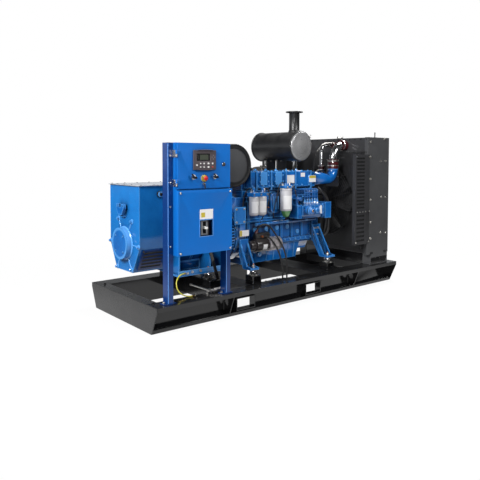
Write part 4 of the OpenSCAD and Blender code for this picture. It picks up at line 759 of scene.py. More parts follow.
# %% Stop button and lock
ring_low, ring_high = box("stop_button")
stop_at = np.array([(ring_low[0] + ring_high[0]) / 2, door_face, (ring_low[2] + ring_high[2]) / 2])
halo = [(9, 0), (9, 8.4), (24, 8.6), (28.5, 7.5), (30.5, 5), (31, 0), (9, 0)]
piece("stop_ring", [turned(halo, stop_at, "-y", 48)], "ring_yellow", "door")
mushroom = [(0, 34.6), (8, 34.2), (15, 32.2), (18.6, 29), (20.2, 25), (19.2, 21.5), (9, 20.6), (8, 19), (8, 2),
            (0, 2)]
piece("stop_mushroom", [turned(mushroom, stop_at, "-y", 48)], "stop_red", "stop", ("stop_button",))
barrel_at = stop_at + (-6, 0, -48)
piece("stop_key", [turned([(5, 0), (5, 14), (8, 15), (11, 13), (11.6, 0), (5, 0)], barrel_at, "-y", 32),
                   round_box(barrel_at + (-1.2, -22, -5), barrel_at + (1.2, -6, 5), 1, "+y"),
                   round_box(barrel_at + (-7, -21, -36), barrel_at + (7, -19, -8), 5, "+y")], "polished", "door")
lock_at = np.array([box("cabinet_door")[1][0] - 74, door_face - 8, panel_z - 35])
piece("door_lock", [turned([(0, 3), (9, 3.4), (15, 2.6), (17, 0), (17, -3), (0, -3)], lock_at, "-y", 36),
                    round_box(lock_at + (-1.5, -4.2, -8), lock_at + (1.5, -2, 8), 1, "+y")], "polished", "door")
print("stop button and lock heights:", round(stop_at[2]), round(lock_at[2]))

# %% [markdown]
# The hinges show as two bright leaves on the door's left edge, each with a knuckle that stays with the
# cabinet. Four dome screws hold the lower cover.

# %% Hinges and cover screws
door_top = box("cabinet_door")[1][2]
hinge_z = [door_top - 86, door_top - 320]
wall_x = box("lower_cabinet")[0][0]
leaves = [round_box((wall_x - 4, -601, z - 30), (wall_x, -563, z + 28), 3, "+x") for z in hinge_z]
piece("hinge_leaves", leaves + screws([(wall_x - 4, -582, z + s * 18) for z in hinge_z for s in (-1, 1)], "-x", 4),
      "mount_steel", bevel=0.8)
knuckle = [(0, 0), (7.6, 0), (8.3, 0.8), (8.3, 23.2), (7.6, 24), (0, 24)]
piece("hinge_fixed_knuckles", [turned(knuckle, (-1430, -624, z - 28), "+z", 24) for z in hinge_z], "mount_steel")
cover_low, cover_high = box("lower_cover")
corners = [(x, cover_low[1] + 0.5, z) for x in (cover_low[0] + 20, cover_high[0] - 20)
           for z in (cover_low[2] + 20, cover_high[2] - 22)]
dome = [(0, 6.5), (5, 6.1), (8.4, 4), (9.8, 0.8), (9.8, 0), (0, 0)]
piece("cover_screws", [repeated(turned(dome, (0, 0, 0), "-y", 20), corners)], "mount_steel")
print("hinge heights:", np.round(hinge_z))

# %% [markdown]
# The two posts are pressed channels. Their rolled edges are tubes of their own in a lighter blue, a
# painted highlight for the thin bright lines they show. Screws hold the posts to the cabinets, and bolts hold
# their feet to the rail.

# %% Posts
post_x, right_post_x = cover_low[0] + 3 - 25, cover_high[0] - 3 + 25
deck_z = 229
post_spots = [(post_x, -560, z) for z in (door_top - 104, door_top - 318, 1020, 700)]
post_spots += [(right_post_x, -560, z) for z in (1020, 700)]
piece("post_screws", screws(post_spots, "-y", 8), "mount_steel")
# Painted highlight: the rolled edges are lighter blue tubes.
edges = [tube([(x, -557, 240), (x, -557, 400), (x, -557, top)], 4.2, (0, 1, 0), 12)
         for x, top in ((box("stand_posts")[0][0] + 38, 1528), (cover_high[0] + 3, 1155))]
piece("post_rolled_edges", edges, "edge_painted_highlight_blue")
foot_x = (post_x - 42, post_x + 42, cover_high[0] - 20, cover_high[0] + 64)
piece("post_foot_bolts", bolts([(x, -520, deck_z + 8) for x in foot_x], "+z", 17), "mount_steel")
print("posts at", round(post_x), round(right_post_x))

# %% [markdown]
# Through the window in the lower cover the breaker shows. The window has a thin trim in the lighter
# blue of painted highlight, and the breaker has a raised bezel and a handle whose tip reaches out, which
# rides on the lever's body.

# %% Breaker window
window_low = np.array([-1214.0, cover_low[1] + 4, 771.0])
window_high = np.array([-1085.0, cover_low[1] + 4, 903.0])
wide = 6
front, back = window_low[1] - 1.4, window_low[1]
# The trim takes the lighter blue of painted highlight.
trim = [round_box((window_low[0] - wide, front, z), (window_high[0] + wide, back, z + wide), 1, "+y")
        for z in (window_low[2] - wide, window_high[2])]
trim += [round_box((x, front, window_low[2]), (x + wide, back, window_high[2]), 1, "+y")
         for x in (window_low[0] - wide, window_high[0])]
piece("breaker_window_trim", trim, "edge_painted_highlight_blue", bevel=0.5)
bezel = [round_box((x, -613, 777), (x + 16, -610, 897), 2, "+y") for x in (-1182, -1134)]
bezel += [round_box((-1166, -613, z), (-1134, -610, z + 10), 1, "+y") for z in (777, 887)]
piece("breaker_bezel", bezel, "breaker_grey", bevel=0.8)
handle = [round_box((-1158, y - 22, 826), (-1142, y, 848), 3, "+x") for y in (-578, -600)]
tip = outline_prism([(-617, 829), (-648, 826), (-650, 830), (-650, 841), (-648, 845), (-617, 845)], (-1150, 0, 0),
                    -9, 9, "+x")
piece("breaker_handle", handle + [tip], "lever_white", "lever", ("breaker_lever",), bevel=1.5)
cover_y = cover_low[1]
plate = round_box((-1217, cover_y + 3.2, 911), (-1082, cover_y + 4, 992), 2, "+y")
piece("cover_blank_plate", [plate], "label_white")
mark = round_box((-1203, cover_y + 2.9, 926), (-1164, cover_y + 3.2, 966), 3, "+y")
piece("cover_blank_plate_mark", [mark], "label_yellow")
print("stand pieces:", len(made))

# %% [markdown]
# The silencer is a rolled drum: two beaded rims, a plain shell and a dished end at each side. Turned
# profiles give every bead in one line. A flat disc on the end would lose the ring of light that tells
# the eye it is dished.

# %% Silencer
drum = np.array([316.0, 0.0, 1541.0])
bead = [(154, 0), (158, 1), (161, 4), (162, 8), (160.5, 12), (156, 14), (153, 16)]
shell = [(140, -300), *((r, y - 300) for r, y in bead), *((r, 314 - y) for r, y in bead[::-1]), (140, 314),
         (140, -300)]
neck = [(38, 1318), (66, 1318), (70, 1320), (70, 1330), (68, 1332), (46, 1333), (43, 1337), (43, 1420), (38, 1420),
        (38, 1318)]
piece("silencer_shell", [turned(shell, drum, "+y", 72), turned(neck, (drum[0], 240, 0), "+z", 40)], "drum_black",
      instead_of=("silencer",))
dish = [(0, 26), (26, 25.6), (52, 24), (64, 21.5), (92, 15.5), (118, 12.5), (138, 11), (146, 7), (150, 1), (150, -6),
        (0, -6)]
# Painted highlight: the near end is silver, while the far end keeps the drum's black.
piece("silencer_near_end", [turned(dish, drum + (0, -300, 0), "-y", 72)], "end_painted_highlight")
piece("silencer_far_end", [turned(dish, drum + (0, 314, 0), "+y", 72)], "drum_black")
stack = [(50, 1706), (50, 1903), (52, 1905), (89, 1905), (90, 1904), (90, 1896), (89, 1895), (61, 1895), (58, 1892),
         (55, 1886), (55, 1712), (59, 1704), (63, 1698), (63, 1680), (50, 1680), (50, 1706)]
piece("silencer_outlet", [turned(stack, (drum[0], -197, 0), "+z", 56)], "drum_black", sharp=30)
ring = tube(circle(454, -296, 1648, 13, np.linspace(0, 360, 33), "y"), 3.4, (0, 1, 0), 8, capped=False)
piece("silencer_eye", [ring], "mount_steel")
plug = turned([(0, 14), (11, 13), (12, 10), (12, 0), (0, 0)], (drum[0], -180, 1389), "-z", 6)
piece("silencer_drain_plug", [plug], "mount_steel")
print("silencer:", len(shell), "points in its profile")

# %% [markdown]
# The air cleaner is a canister that lies across the set. Its cover is held by spring clips, and a
# rubber dust valve hangs below. The cover is a shallow dome inside a raised rim.

# %% Air cleaner
can = np.array([-570.0, 0.0, 1345.0])
body = [(160, -296), (189, -296), (189, -246), (191, -243), (191, -236), (189, -233), (189, -60), (190.5, -57),
        (190.5, -50), (189, -47), (189, 90), (184, 112), (150, 134), (96, 139), (60, 139.5), (0, 139.5), (0, -296)]
cover = [(0, -297), (60, -296), (120, -293), (160, -289), (176, -284), (182, -282), (182, -276), (0, -276)]
lip = [(180, -282), (185, -298), (192, -300), (200, -299), (203, -295), (203, -256), (200, -254), (189, -254),
       (189, -276), (180, -276), (180, -282)]
piece("air_cleaner_body", [turned(body, can, "+y", 72)], "drum_black", instead_of=("air_cleaner",))
piece("air_cleaner_cover", [turned(cover, can, "+y", 72)], "radiator_grey")
piece("air_cleaner_lip", [turned(lip, can, "+y", 72)], "drum_black")
clips, springs = [], []
clip_route = [(204, -272), (211, -262), (212, -248), (206, -238), (196, -226), (192, -214)]
for a in np.radians(evenly(8, 22.5)):
    out = np.array([math.cos(a), 0, math.sin(a)])
    along = np.array([-math.sin(a), 0, math.cos(a)])
    route = [can + out * r + (0, y, 0) for r, y in clip_route]
    for s in (-8, 8):
        springs.append(tube(np.array(route) + along * s, 2.2, tuple(along), 8))
    clips.append(tube([can + out * 207 + along * s + (0, -256, 0) for s in (-13, 13)], 5, tuple(out), 10))
piece("air_cleaner_clips", clips + springs, "steel_pipe")
valve = [(0, 0), (26, 0), (30, -10), (24, -34), (15, -46), (0, -48)]
piece("air_cleaner_dust_valve", [turned(valve, (can[0], -150, 1162), "+z", 24)], "cable_black")
route = smooth_route([(-570, 140, 1345), (-570, 160, 1345), (-570, 195, 1345), (-558, 240, 1341), (-508, 268, 1331),
                      (-380, 266, 1307), (-150, 250, 1292), (10, 242, 1264), (74, 240, 1254), (94, 240, 1254),
                      (115, 240, 1254)], 8)
piece("intake_pipe_run", [tube(route, 49, (0, 0.1, 1), 28)], "cable_black", instead_of=("intake_pipe",))
bands = [turned([(49, -7), (51.5, -6), (51.5, 6), (49, 7), (49, -7)], place, axis, 36)
         for place, axis in (((-570, 172, 1345), "+y"), ((102, 240, 1254), "+x"))]
piece("intake_pipe_clamps", bands, "mount_steel")
print("clips:", len(clips))

# %% [markdown]
# The set stands on six rubber mounts. Each is a plate with two bolts, a rubber cone, a pressed cup and
# a stud with its nut. Three places are mirrored, so one loop makes all six.

# %% Rubber mounts
rear_x, front_x, alternator_x = -424, 627, -880
saddle_y, beam_y = 400, 300
mounts = [(rear_x, saddle_y, 309, 365), (front_x, saddle_y, 309, 365), (alternator_x, beam_y, 328, 384)]
plates, cones, cups, studs, nuts = [], [], [], [], []
for x, y, low_z, high_z in mounts:
    for s in (-1, 1):
        plates.append(round_box((x - 48, s * y - 32, low_z), (x + 48, s * y + 32, low_z + 6), 10))
        plates += bolts([(x - 38, s * y, low_z + 6), (x + 38, s * y, low_z + 6)], "+z", 13)
        cones.append(turned([(0, 5), (40, 5), (40.5, 8), (38, 14), (33, 26), (30, 34), (0, 34)], (x, s * y, low_z)))
        cup = [(0, 0), (26, 0), (32, -1.5), (35, -5), (36, -10), (36, -22), (37.5, -24), (37, -25.5), (33, -24),
               (0, -23)]
        cups.append(turned(cup, (x, s * y, high_z), sides=40))
        thick = 20 if y == saddle_y else 16
        nuts += bolts([(x, s * y, high_z + thick)], "+z", 24, 16)
        studs.append(turned([(0, 32), (7, 31), (8, 29), (8, 0), (0, 0)], (x, s * y, high_z + thick), sides=16))
piece("mount_plates", plates, "mount_steel", instead_of=("rubber_mounts",), bevel=0.8)
piece("mount_rubbers", cones, "cable_black")
piece("mount_cups", cups, "polished")
piece("mount_nuts", nuts, "mount_steel")
piece("mount_studs", studs, "copper")
print("mounts:", len(cups))

# %% [markdown]
# The skid's own small things: weld runs where the fork pockets meet the web, the blank plate on the
# near flange, the lugs of the earth lead, and bolts in the end flanges and the mount brackets.

# %% Skid fittings
runs = []
for x in (-700, 200):
    for s in (-1, 1):
        corners = [(x - 8, 32), (x + 213, 32), (x + 213, 148), (x - 8, 148), (x - 8, 32)]
        runs.append(tube([(cx, s * 433, cz) for cx, cz in corners], 3.5, (0.3, 1, 0.2), 6, capped=False))
for x in (-806, 927):
    for dx in (-1, 9):
        for s in (-1, 1):
            runs.append(tube([(x + dx, s * 434, 10), (x + dx, s * 434, 218)], 3, (1, 0, 0), 6))
piece("skid_weld_runs", runs, "skid_black")
piece("rail_blank_plate", [round_box((-1345, -532, 229), (-1292, -504, 230), 2)], "brass")
lugs = [round_box((-1132, -463, 243), (-1108, -447, 245), 4), *bolts([(-1121, -455, 245)], "+z", 13)]
lugs += [round_box((-1156, -358.5, 403), (-1138, -357, 421), 4, "+y"), *bolts([(-1147, -358.5, 412)], "-y", 13)]
piece("earth_lugs", lugs, "mount_steel")
sleeves = [turned([(5, 0), (6.6, 0.5), (6.6, 17.5), (5, 18), (5, 0)], place, "+x", 14)
           for place in ((-1178, -351, 412), (-1168, -455, 236))]
piece("earth_crimps", sleeves, "brass")
end_places = [(x, s * 444, deck_z) for x in (-1540, 1540) for s in (-1, 1)]
piece("end_flange_bolts", bolts(end_places, "+z", 17), "skid_black")
saddle_places = [(x, s * saddle_y + dy, 309) for x in (rear_x, front_x) for s in (-1, 1) for dy in (-40, 40)]
piece("bracket_bolts", bolts(saddle_places, "+z", 13), "mount_steel")
print("weld runs:", len(runs))

# %% [markdown]
# The batteries carry filler caps, a hold-down bar with two rods, and a clamp round each post. The leads
# end in those clamps, so each clamp stands on its lead's own line.

# %% Batteries
caps, grips, rods, post_clamps = [], [], [], []
for start, post in ((-182, -13), (8, 45)):
    for i in range(6):
        y = -214 - i * 28 - (30 if i > 2 else 0)
        caps.append(turned([(0, 7), (8, 7), (10, 5.5), (10.5, 0), (0, 0)], (start + 90, y, 165), sides=20))
    grips.append(round_box((start + 18, -411, 166), (start + 30, -203, 172), 3))
    for y in (-374, -240):
        post_clamps.append(turned([(9.2, 0), (16, 1), (16, 13), (9.2, 14), (9.2, 0)], (post, y, 166), sides=20))
        post_clamps.append(round_box((post - 24, y - 7, 169), (post - 12, y + 7, 178), 3))
        post_clamps += bolts([(post - 18, y, 178)], "+z", 8)
piece("battery_caps", caps, "battery_grey")
piece("battery_handles", grips, "cable_black", bevel=0.8)
piece("battery_post_clamps", post_clamps, "mount_steel")
bar = [round_box((-190, -318, 166), (196, -302, 172), 3)]
for x in (-188, 193):
    rods.append(tube([(x, -310, 20), (x, -310, 184)], 4, (1, 0, 0), 8))
    rods += bolts([(x, -310, 172)], "+z", 12)
piece("battery_hold_down", bar + rods, "skid_black", bevel=0.6)
print("pieces so far:", len(made))

# %% [markdown]
# The fuel filters are spin-on cans with a rolled seam at the head and a domed foot. The big one has a
# clear bowl with a drain below. Their cast heads carry banjo bolts with thin pipes, so the pipes'
# routes start from those bolts.

# %% Fuel filters
small_can = [(0, 3), (16, 0), (30, 3), (40, 9), (44, 18), (46, 27), (46, 158), (44.5, 162), (44.5, 166), (47, 169),
             (47.5, 176), (45, 180), (42, 188), (0, 188)]
big_can = [(0, 0), (40, 0), (52, 5), (57, 14), (59, 24), (59, 200), (57, 205), (57, 209), (60, 213), (60.5, 222),
           (57, 228), (52, 236), (0, 236)]
bowl = [(0, -62), (7, -62), (8, -76), (6, -82), (0, -82)]
glass = [(0, -60), (24, -58), (34, -46), (44, -18), (50, 0), (50, 3), (0, 3)]
filter_y = -330
small_x, big = (-360, -257), (70, filter_y, 880)
cans = [turned(small_can, (x, filter_y, 858), sides=48) for x in small_x]
piece("filter_cans", cans, "filter_white", instead_of=("fuel_filters",))
piece("big_filter_can", [turned(big_can, big, sides=56)], "filter_white")
piece("big_filter_bowl", [turned(glass, big, sides=48)], "bowl_green")
piece("big_filter_drain", [turned(bowl, big, sides=20)], "grip_black")
post = [(0, 52), (14, 50), (17, 44), (17, 0), (0, 0)]
heads = [round_box((-410, -375, 1046), (-205, -280, 1085), 16),
         round_box((-330, -290, 1050), (-285, -195, 1080), 3, "+y"),
         round_box((11, -386, 1116), (129, -274, 1140), 14), round_box((40, -285, 1122), (100, -232, 1140), 3, "+y"),
         *(turned(post, (x, filter_y, 1078)) for x in (-364, -251)),
         turned([(0, 26), (24, 24), (30, 18), (32, 0), (0, 0)], (big[0], filter_y, 1138), sides=32)]
piece("filter_heads", heads, "engine_blue", bevel=2.5)
banjos = bolts([(x, filter_y, z) for x, z in ((-390, 1085), (-226, 1085), (22, 1140), (118, 1140))], "+z", 17, 14)
banjos += bolts([(x, -375, 1066) for x in (-307, -395, -222)] + [(x, -386, 1128) for x in (36, 104)], "-y", 13)
piece("filter_banjo_bolts", banjos, "mount_steel")


def wrapped(x, y, r, low_z, high_z, angles, thick=0.6):
    """A label bent round an upright can: x = r cos a, y = r sin a, closed by a second sheet behind it."""
    rows = ((r, low_z), (r, high_z), (r - thick, high_z), (r - thick, low_z), (r, low_z))
    return grid(np.stack([circle(x, y, z, k, angles, "z") for k, z in rows]), close_columns=False)


turn_out = np.linspace(200, 300, 22)
labels = [wrapped(x, filter_y, 46.2, 892, 1000, turn_out) for x in small_x]
labels.append(wrapped(big[0], filter_y, 59.2, 905, 1040, turn_out))
piece("filter_blank_labels", labels, "label_white")
print("filters:", len(labels))

# %% [markdown]
# Thin pipes leave the banjo bolts and follow the castings. Each is a tube along a spline, because real
# pipes are bent round rollers and have no corners. A thicker sleeve at its start makes the fitting.

# %% Fuel pipes
pipe_points = [[(-390, -330, 1098), (-392, -330, 1116), (-398, -318, 1130), (-405, -285, 1120), (-410, -240, 1050),
                (-410, -225, 960), (-405, -222, 860), (-396, -222, 800)],
               [(-226, -330, 1098), (-222, -332, 1118), (-205, -338, 1128), (-172, -338, 1108), (-150, -325, 1040),
                (-148, -300, 940), (-160, -262, 850), (-170, -225, 800), (-172, -212, 770)],
               [(22, -330, 1153), (16, -335, 1170), (-6, -340, 1172), (-28, -336, 1150), (-38, -318, 1060),
                (-40, -290, 960), (-36, -262, 880), (-20, -240, 830), (0, -226, 810)],
               [(118, -330, 1153), (126, -334, 1168), (150, -340, 1165), (172, -345, 1130), (190, -350, 1050),
                (215, -350, 985), (240, -350, 955), (262, -345, 945), (280, -340, 938)]]
pipes = [tube(smooth_route(route, 6), 5, (0.3, 1, 0.1), 10) for route in pipe_points]
piece("fuel_pipes", pipes, "cable_black")
piece("fuel_pipe_ends", [tube(route[:2], 7.5, (1, 0.2, 0), 12) for route in pipe_points], "steel_pipe")
sensor = [turned([(0, 34), (9, 33), (10, 28), (10, 12), (12, 11), (12, 0), (0, 0)], (-118, -229, 925), "-y", 6),
          turned([(0, 20), (7, 19), (8, 0), (0, 0)], (-118, -260, 925), "-y", 16)]
piece("block_sensor", sensor, "copper")
print("pipes:", len(pipes))

# %% [markdown]
# The starter is a drum with a solenoid on its shoulder. Its through bolts, end cap, studs and red boot
# are what make it read as a starter instead of two cylinders.

# %% Starter
axle = (0, -300, 565)
field = [(0, -395), (30, -395), (42, -390), (47, -380), (47, -334), (58, -330), (61, -326), (61, -172), (59, -168),
         (0, -168)]
end_bell = [(0, -168), (64, -168), (69, -164), (69, -20), (67, -8), (60, 0), (44, 4), (30, 5), (0, 5)]
piece("starter_field", [turned(field, axle, "+x", 48)], "starter_dark", instead_of=("starter_motor",))
# Painted reflection: the end bell's light grey stands for the reflection on its dark metal.
piece("starter_end_bell", [turned(end_bell, axle, "+x", 56)], "starter_painted_reflection")
can = [(0, -320), (24, -320), (31, -316), (32, -310), (32, -168), (34, -166), (34, -156), (32, -154), (31, -138),
       (22, -131), (0, -130)]
piece("starter_solenoid", [turned(can, (0, -290, 652), "+x", 40),
                           round_box((-300, -314, 618), (-206, -268, 640), 4, "+x")], "drum_black")
piece("starter_through_bolts", bolts(circle(5, *axle[1:], 44, [40, 140, 220, 320]), "+x", 12, 7), "mount_steel")
strip = ((-258, 61.2), (-205, 61.2), (-205, 60), (-258, 60), (-258, 61.2))
wrap = np.stack([circle(x, *axle[1:], r, np.linspace(170, 222, 12)) for x, r in strip])
piece("starter_label", [grid(wrap, close_columns=False)], "label_white")
print("starter shell:", len(field), "points in its profile")

# %% [markdown]
# The leads start at two studs on the solenoid. A red boot covers the tilted one, a copper block holds
# the other, and black crimps close the leads' ends.

# %% Starter terminals
tilt = np.array([math.sin(math.radians(31)), 0, math.cos(math.radians(31))])
stud_top = np.array([-290.0, -290, 698])
boot = tube([stud_top + tilt * up for up in (-26, -24, -4, 2, 20, 24)], [14, 17, 17, 13, 11, 9], (0, 1, 0), 20)
piece("starter_red_boot", [boot], "silicone_red")
block = [round_box((-266, -347, 643), (-250, -316, 661), 3), *bolts([(-258, -347, 652)], "-y", 11)]
piece("starter_terminal", block, "copper")
lug = [turned([(8, 0), (9.6, 0.4), (9.6, 23), (8, 24), (8, 0)], (-250, -338, 652), "+x", 18)]
ends = [tube([(x, -374, z) for z in (182, 206)], [10.5, 9.5], (0, 1, 0.05), 16) for x in (45, -13)]
piece("starter_lead_crimps", lug + ends, "grip_black")
small_wire = smooth_route([(-200, -296, 684), (-190, -300, 700), (-170, -306, 712), (-140, -300, 716),
                           (-110, -280, 722), (-95, -245, 730), (-90, -220, 738), (-88, -205, 742)], 6)
piece("solenoid_wire", [tube(small_wire, 3, (0.2, 1, 0.2), 8)], "grip_black")
print("stud top:", stud_top)

# %% [markdown]
# The alternator's rear face is a casting: rings round the bearing cap, ribs that run out to the tie
# bolts, and a lug with two eyes. Ribs are half-sunk tubes, which look cast where they meet the face.

# %% Alternator castings and screws
rear, shaft_z = -1564.0, 675
rim = [(118, 42), (126, 47.5), (131, 48), (135.5, 45), (137.4, 40), (137, 8), (142, 3), (147, -1), (118, -1),
       (118, 42)]
piece("bearing_cap_rim", [turned(rim, (rear, 0, shaft_z), "-x", 72)], "housing_blue")
cap_bolts = circle(rear - 48, 0, shaft_z, 104, evenly(4, 45))
tie_places = [(99, 886), (-135, 873), (251, 671), (132, 452), (-125, 459), (-251, 668)]
ties = [(rear - 5, y, z) for y, z in tie_places]
piece("bearing_cap_screws", screws(cap_bolts, "-x", 6), "drum_black")
piece("alternator_tie_bolts", bolts(ties, "-x", 22), "engine_blue")
spokes, pads = [], []
for y, z in tie_places:
    out = np.array([0, y, z - shaft_z]) / math.hypot(y, z - shaft_z)
    foot = np.array([rear, 0, shaft_z]) + out * 134
    spokes.append(tube([foot, np.array([rear, y, z])], 6, (1, 0, 0), 10))
    pads.append(turned([(0, 6), (17, 6), (21, 3), (22, -1), (0, -1)], (rear, y, z), "-x", 28))
piece("alternator_rear_ribs", spokes + pads, "engine_blue")
print("tie bolts:", len(ties))

# %% [markdown]
# Screws follow the edge of the alternator's lid, and four webs carry its feet. An Array modifier could
# space the screws, but places worked out from the lid's own box stay on it if it grows. The gland on
# the flank is where the power cables would enter.

# %% Lid screws, foot webs and gland
lid_low, lid_high = box("alternator_lid")
lid_top, inset = lid_high[2], 14
spots = [(x, y, lid_top) for x in np.linspace(lid_low[0] + 30, lid_high[0] - 30, 5)
         for y in (lid_low[1] + inset, lid_high[1] - inset)]
spots += [(lid_low[0] + inset, y, lid_top) for y in (-130, 0, 130)]
piece("alternator_lid_screws", screws(spots, "+z", 7), "drum_black")
webs = [round_box((-1236, s * 150 - 7, 396), (-724, s * 150 + 7, 500), 5, "+x") for s in (-1, 1)]
webs += [round_box((x, -150, 396), (x + 14, 150, 500), 5, "+y") for x in (-1236, -738)]
piece("alternator_foot_webs", webs, "engine_blue", bevel=1.5)
gland = [(0, 30), (11, 30), (15, 27), (18, 20), (24, 19), (25, 17), (25, 6), (28, 5), (28, 0), (0, 0)]
piece("cable_gland", [turned(gland, (-1370, -267, 1105), "-y", 12)], "grip_black")
print("lid screws:", len(spots))

# %% [markdown]
# Air leaves the alternator through slots low on both chamfers. Matt black strips lie in them as painted
# shade, dark sheets where the slots' shade falls. They're drawn in the slope's own frame: along the set,
# up the slope, and outwards.

# %% Grille depth and frame screws
foot_y, foot_z, shoulder_y, shoulder_z = 145, 434, 265, 663
slope = math.atan2(shoulder_z - foot_z, shoulder_y - foot_y)


def on_slope(s, x, up, out):
    """A place on the near (s = -1) or far (s = 1) chamfer: y = 145 + up cos a + out sin a, and
    z = 434 + up sin a - out cos a, where a is the slope."""
    return np.array([rear + 30 + x, s * (foot_y + up * math.cos(slope) + out * math.sin(slope)),
                     foot_z + up * math.sin(slope) - out * math.cos(slope)])


# Painted shade: dark strips laid in the slots where their shade falls.
dark, frame_screws = [], []
for s in (-1, 1):
    for up in range(50, 191, 35):
        strip = [(up + 0.4, 4.2), (up + 19.6, 4.2), (up + 19.6, 9), (up + 0.4, 9)]
        points, faces = grid(np.stack([[on_slope(s, x, *place) for place in strip] for x in (22.4, 217.6)]))
        dark.append((points, faces + [np.arange(4)[None], np.arange(4)[None] + 4]))
    frame_screws += [tube([on_slope(s, x, 224, out) for out in (8, 16, 17.5)], [9, 8.5, 5], (1, 0, 0), 12)
                     for x in (12, 228)]
piece("alternator_grille_painted_shade", dark, "slot_painted_shade_black")
piece("alternator_grille_screws", frame_screws, "drum_black")
print("dark strips:", len(dark))

# %% [markdown]
# Welded seams ring the barrel, and two rings of bolts hold the coupling. The same circle about the
# shaft places them all, y = r cos a and z = 675 + r sin a, so the seams are thin tubes that follow it.

# %% Barrel seams and coupling bolts
foot_bolts = [(x, 345, 416) for x in (-1090, -1000, -760)]
piece("alternator_foot_bolts", both_sides(bolts, foot_bolts, 17), "mount_steel")
seam_angles = np.linspace(-60, 240, 61)
seams = [tube(circle(x, 0, shaft_z, 250, seam_angles), 3.5, (1, 0, 0), 6) for x in (-1005, -985, -740)]
piece("barrel_seams", seams, "engine_blue")
flange_bolts = bolts(circle(-699, 0, shaft_z, 262, evenly(12, 10)), "+x", 12)
housing_bolts = bolts(circle(-526, 0, shaft_z, 269, evenly(16, 6)), "-x", 13)
piece("coupling_bolts", flange_bolts + housing_bolts, "mount_steel")
plate_bolts = [(x, -312, z) for x in (-560, -466) for z in (808, 931)]
piece("shoulder_plate_bolts", bolts(plate_bolts, "-y", 15), "mount_steel")
piece("shoulder_blank_label", [round_box((-513, -301.6, 668), (-398, -300.8, 725), 2, "+y")], "label_white")
piece("shoulder_blank_label_mark", [round_box((-511, -302.2, 670), (-484, -301.4, 723), 2, "+y")], "label_yellow")
print("pieces so far:", len(made))

# %% [markdown]
# An engine is read by its fasteners, covers and pipes. Each of the six heads has a cover with two bolts
# on a black gasket, and a row of head bolts stands beside the covers.

# %% Rocker covers
head_x = [-360 + 150 * i for i in range(6)]
gaskets = [round_box((x + 3, -139, 1197), (x + 139, 134, 1202), 6) for x in head_x]
piece("rocker_gaskets", gaskets, "grip_black", bevel=0.6)
cover_bolts = [(x + 68, y, 1291) for x in head_x for y in (-86, 70)]
crown = [(0, -7), (19, -7), (17, -2), (11, 0), (0, 0)]
piece("rocker_bosses", [turned(crown, place, sides=20) for place in cover_bolts], "engine_blue")
piece("rocker_bolts", bolts(cover_bolts, "+z", 17, 10), "engine_blue")
piece("head_bolts", bolts([(x + a, 141, 1200) for x in head_x for a in (20, 70, 120)], "+z", 16, 9), "engine_blue")
cap = [(0, 34), (24, 34), (28, 31), (29, 26), (29, 8), (22, 6), (20, 0), (0, 0)]
piece("oil_filler", [knurled(cap, (-142, -8, 1285), "+z", 12, 0.03)], "grip_black")
print("cover bolts:", len(cover_bolts))

# %% [markdown]
# The cast intake has bolts along its edges, two lids and three plates, which stay blank. A long segment
# takes a third bolt at its middle. The plates are thin boxes of their own instead of painted areas,
# because their edges throw the small shadow that makes them read as fixed on.

# %% Intake manifold
segments = [(-316, 62), (-238, 185), (-36, 190), (174, 120), (309, 215)]
edge_bolts = [(x + a, -214, 1280) for x, wide in segments
              for a in ((16, wide - 16) if wide < 150 else (16, wide / 2, wide - 16))]
piece("manifold_top_bolts", bolts(edge_bolts, "+z", 15, 10), "engine_blue")
low_bolts = [(x, -232, 1136) for x in (-296, -222, -150, -70, -20, 60, 138, 190, 276, 325, 400, 508)]
piece("manifold_face_bolts", bolts(low_bolts, "-y", 14, 9), "engine_blue")
lid_outline = [(-58, -44), (58, -44), (66, -36), (66, 36), (58, 44), (-58, 44), (-66, 36), (-66, -36)]
lid_x, lid_z = (-146, 58), 1212
lids = [outline_prism(lid_outline, (x, -232, lid_z), -1, 9, "-y") for x in lid_x]
piece("manifold_lids", lids, "engine_blue", bevel=3)
lid_bolts = [(x + a, -241, lid_z + b) for x in lid_x for a in (-54, 54) for b in (-32, 32)]
piece("manifold_lid_bolts", bolts(lid_bolts, "-y", 12, 7), "engine_blue")
piece("manifold_label_pad", [round_box((498, -243, 1156), (608, -219, 1236), 4, "+y")], "engine_blue", bevel=2)
plates = [((176, -233.4, 1158), (287, -231.5, 1241)), ((384, -233.4, 1220), (446, -231.5, 1262)),
          ((502, -244.6, 1161), (604, -242.8, 1231))]
piece("manifold_blank_plates", [round_box(*ends, 2, "+y") for ends in plates], "label_white")
piece("manifold_plate_mark", [round_box((503, -245.2, 1203), (603, -244.4, 1230), 2, "+y")], "label_yellow")
print("manifold bolts:", len(edge_bolts) + len(low_bolts) + len(lid_bolts))

# %% [markdown]
# A breather hose leaves the last cover and drops to the intake's end, between two clamps. The clamps
# are short, wider tubes on the hose's own points, so they bend with it.

# %% Breather and thermostat sensor
breather = smooth_route([(706, -150, 1262), (720, -160, 1276), (748, -168, 1282), (790, -176, 1270),
                         (836, -186, 1244), (866, -196, 1222), (880, -202, 1212)], 6)
piece("breather_pipe", [tube(breather, 8, (0.2, 1, 0.3), 12)], "grip_black")
piece("breather_clamps", [tube(breather[i:i + 4], 10.5, (0.2, 1, 0.3), 16) for i in (2, -6)], "mount_steel")
fitting = [(0, 40), (9, 39), (10, 30), (14, 29), (14, 14), (17, 12), (17, 0), (0, 0)]
piece("thermostat_sensor", [turned(fitting, (798, -80, 1242), "-y", 8)], "copper")
print("breather points:", len(breather))

# %% [markdown]
# On the near flank, an oil cooler cover, core plugs, bolt rows and a ledge break up the casting. They
# could be carved into the block, but a raised piece with a rounded rim gives the same highlights and
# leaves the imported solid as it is.

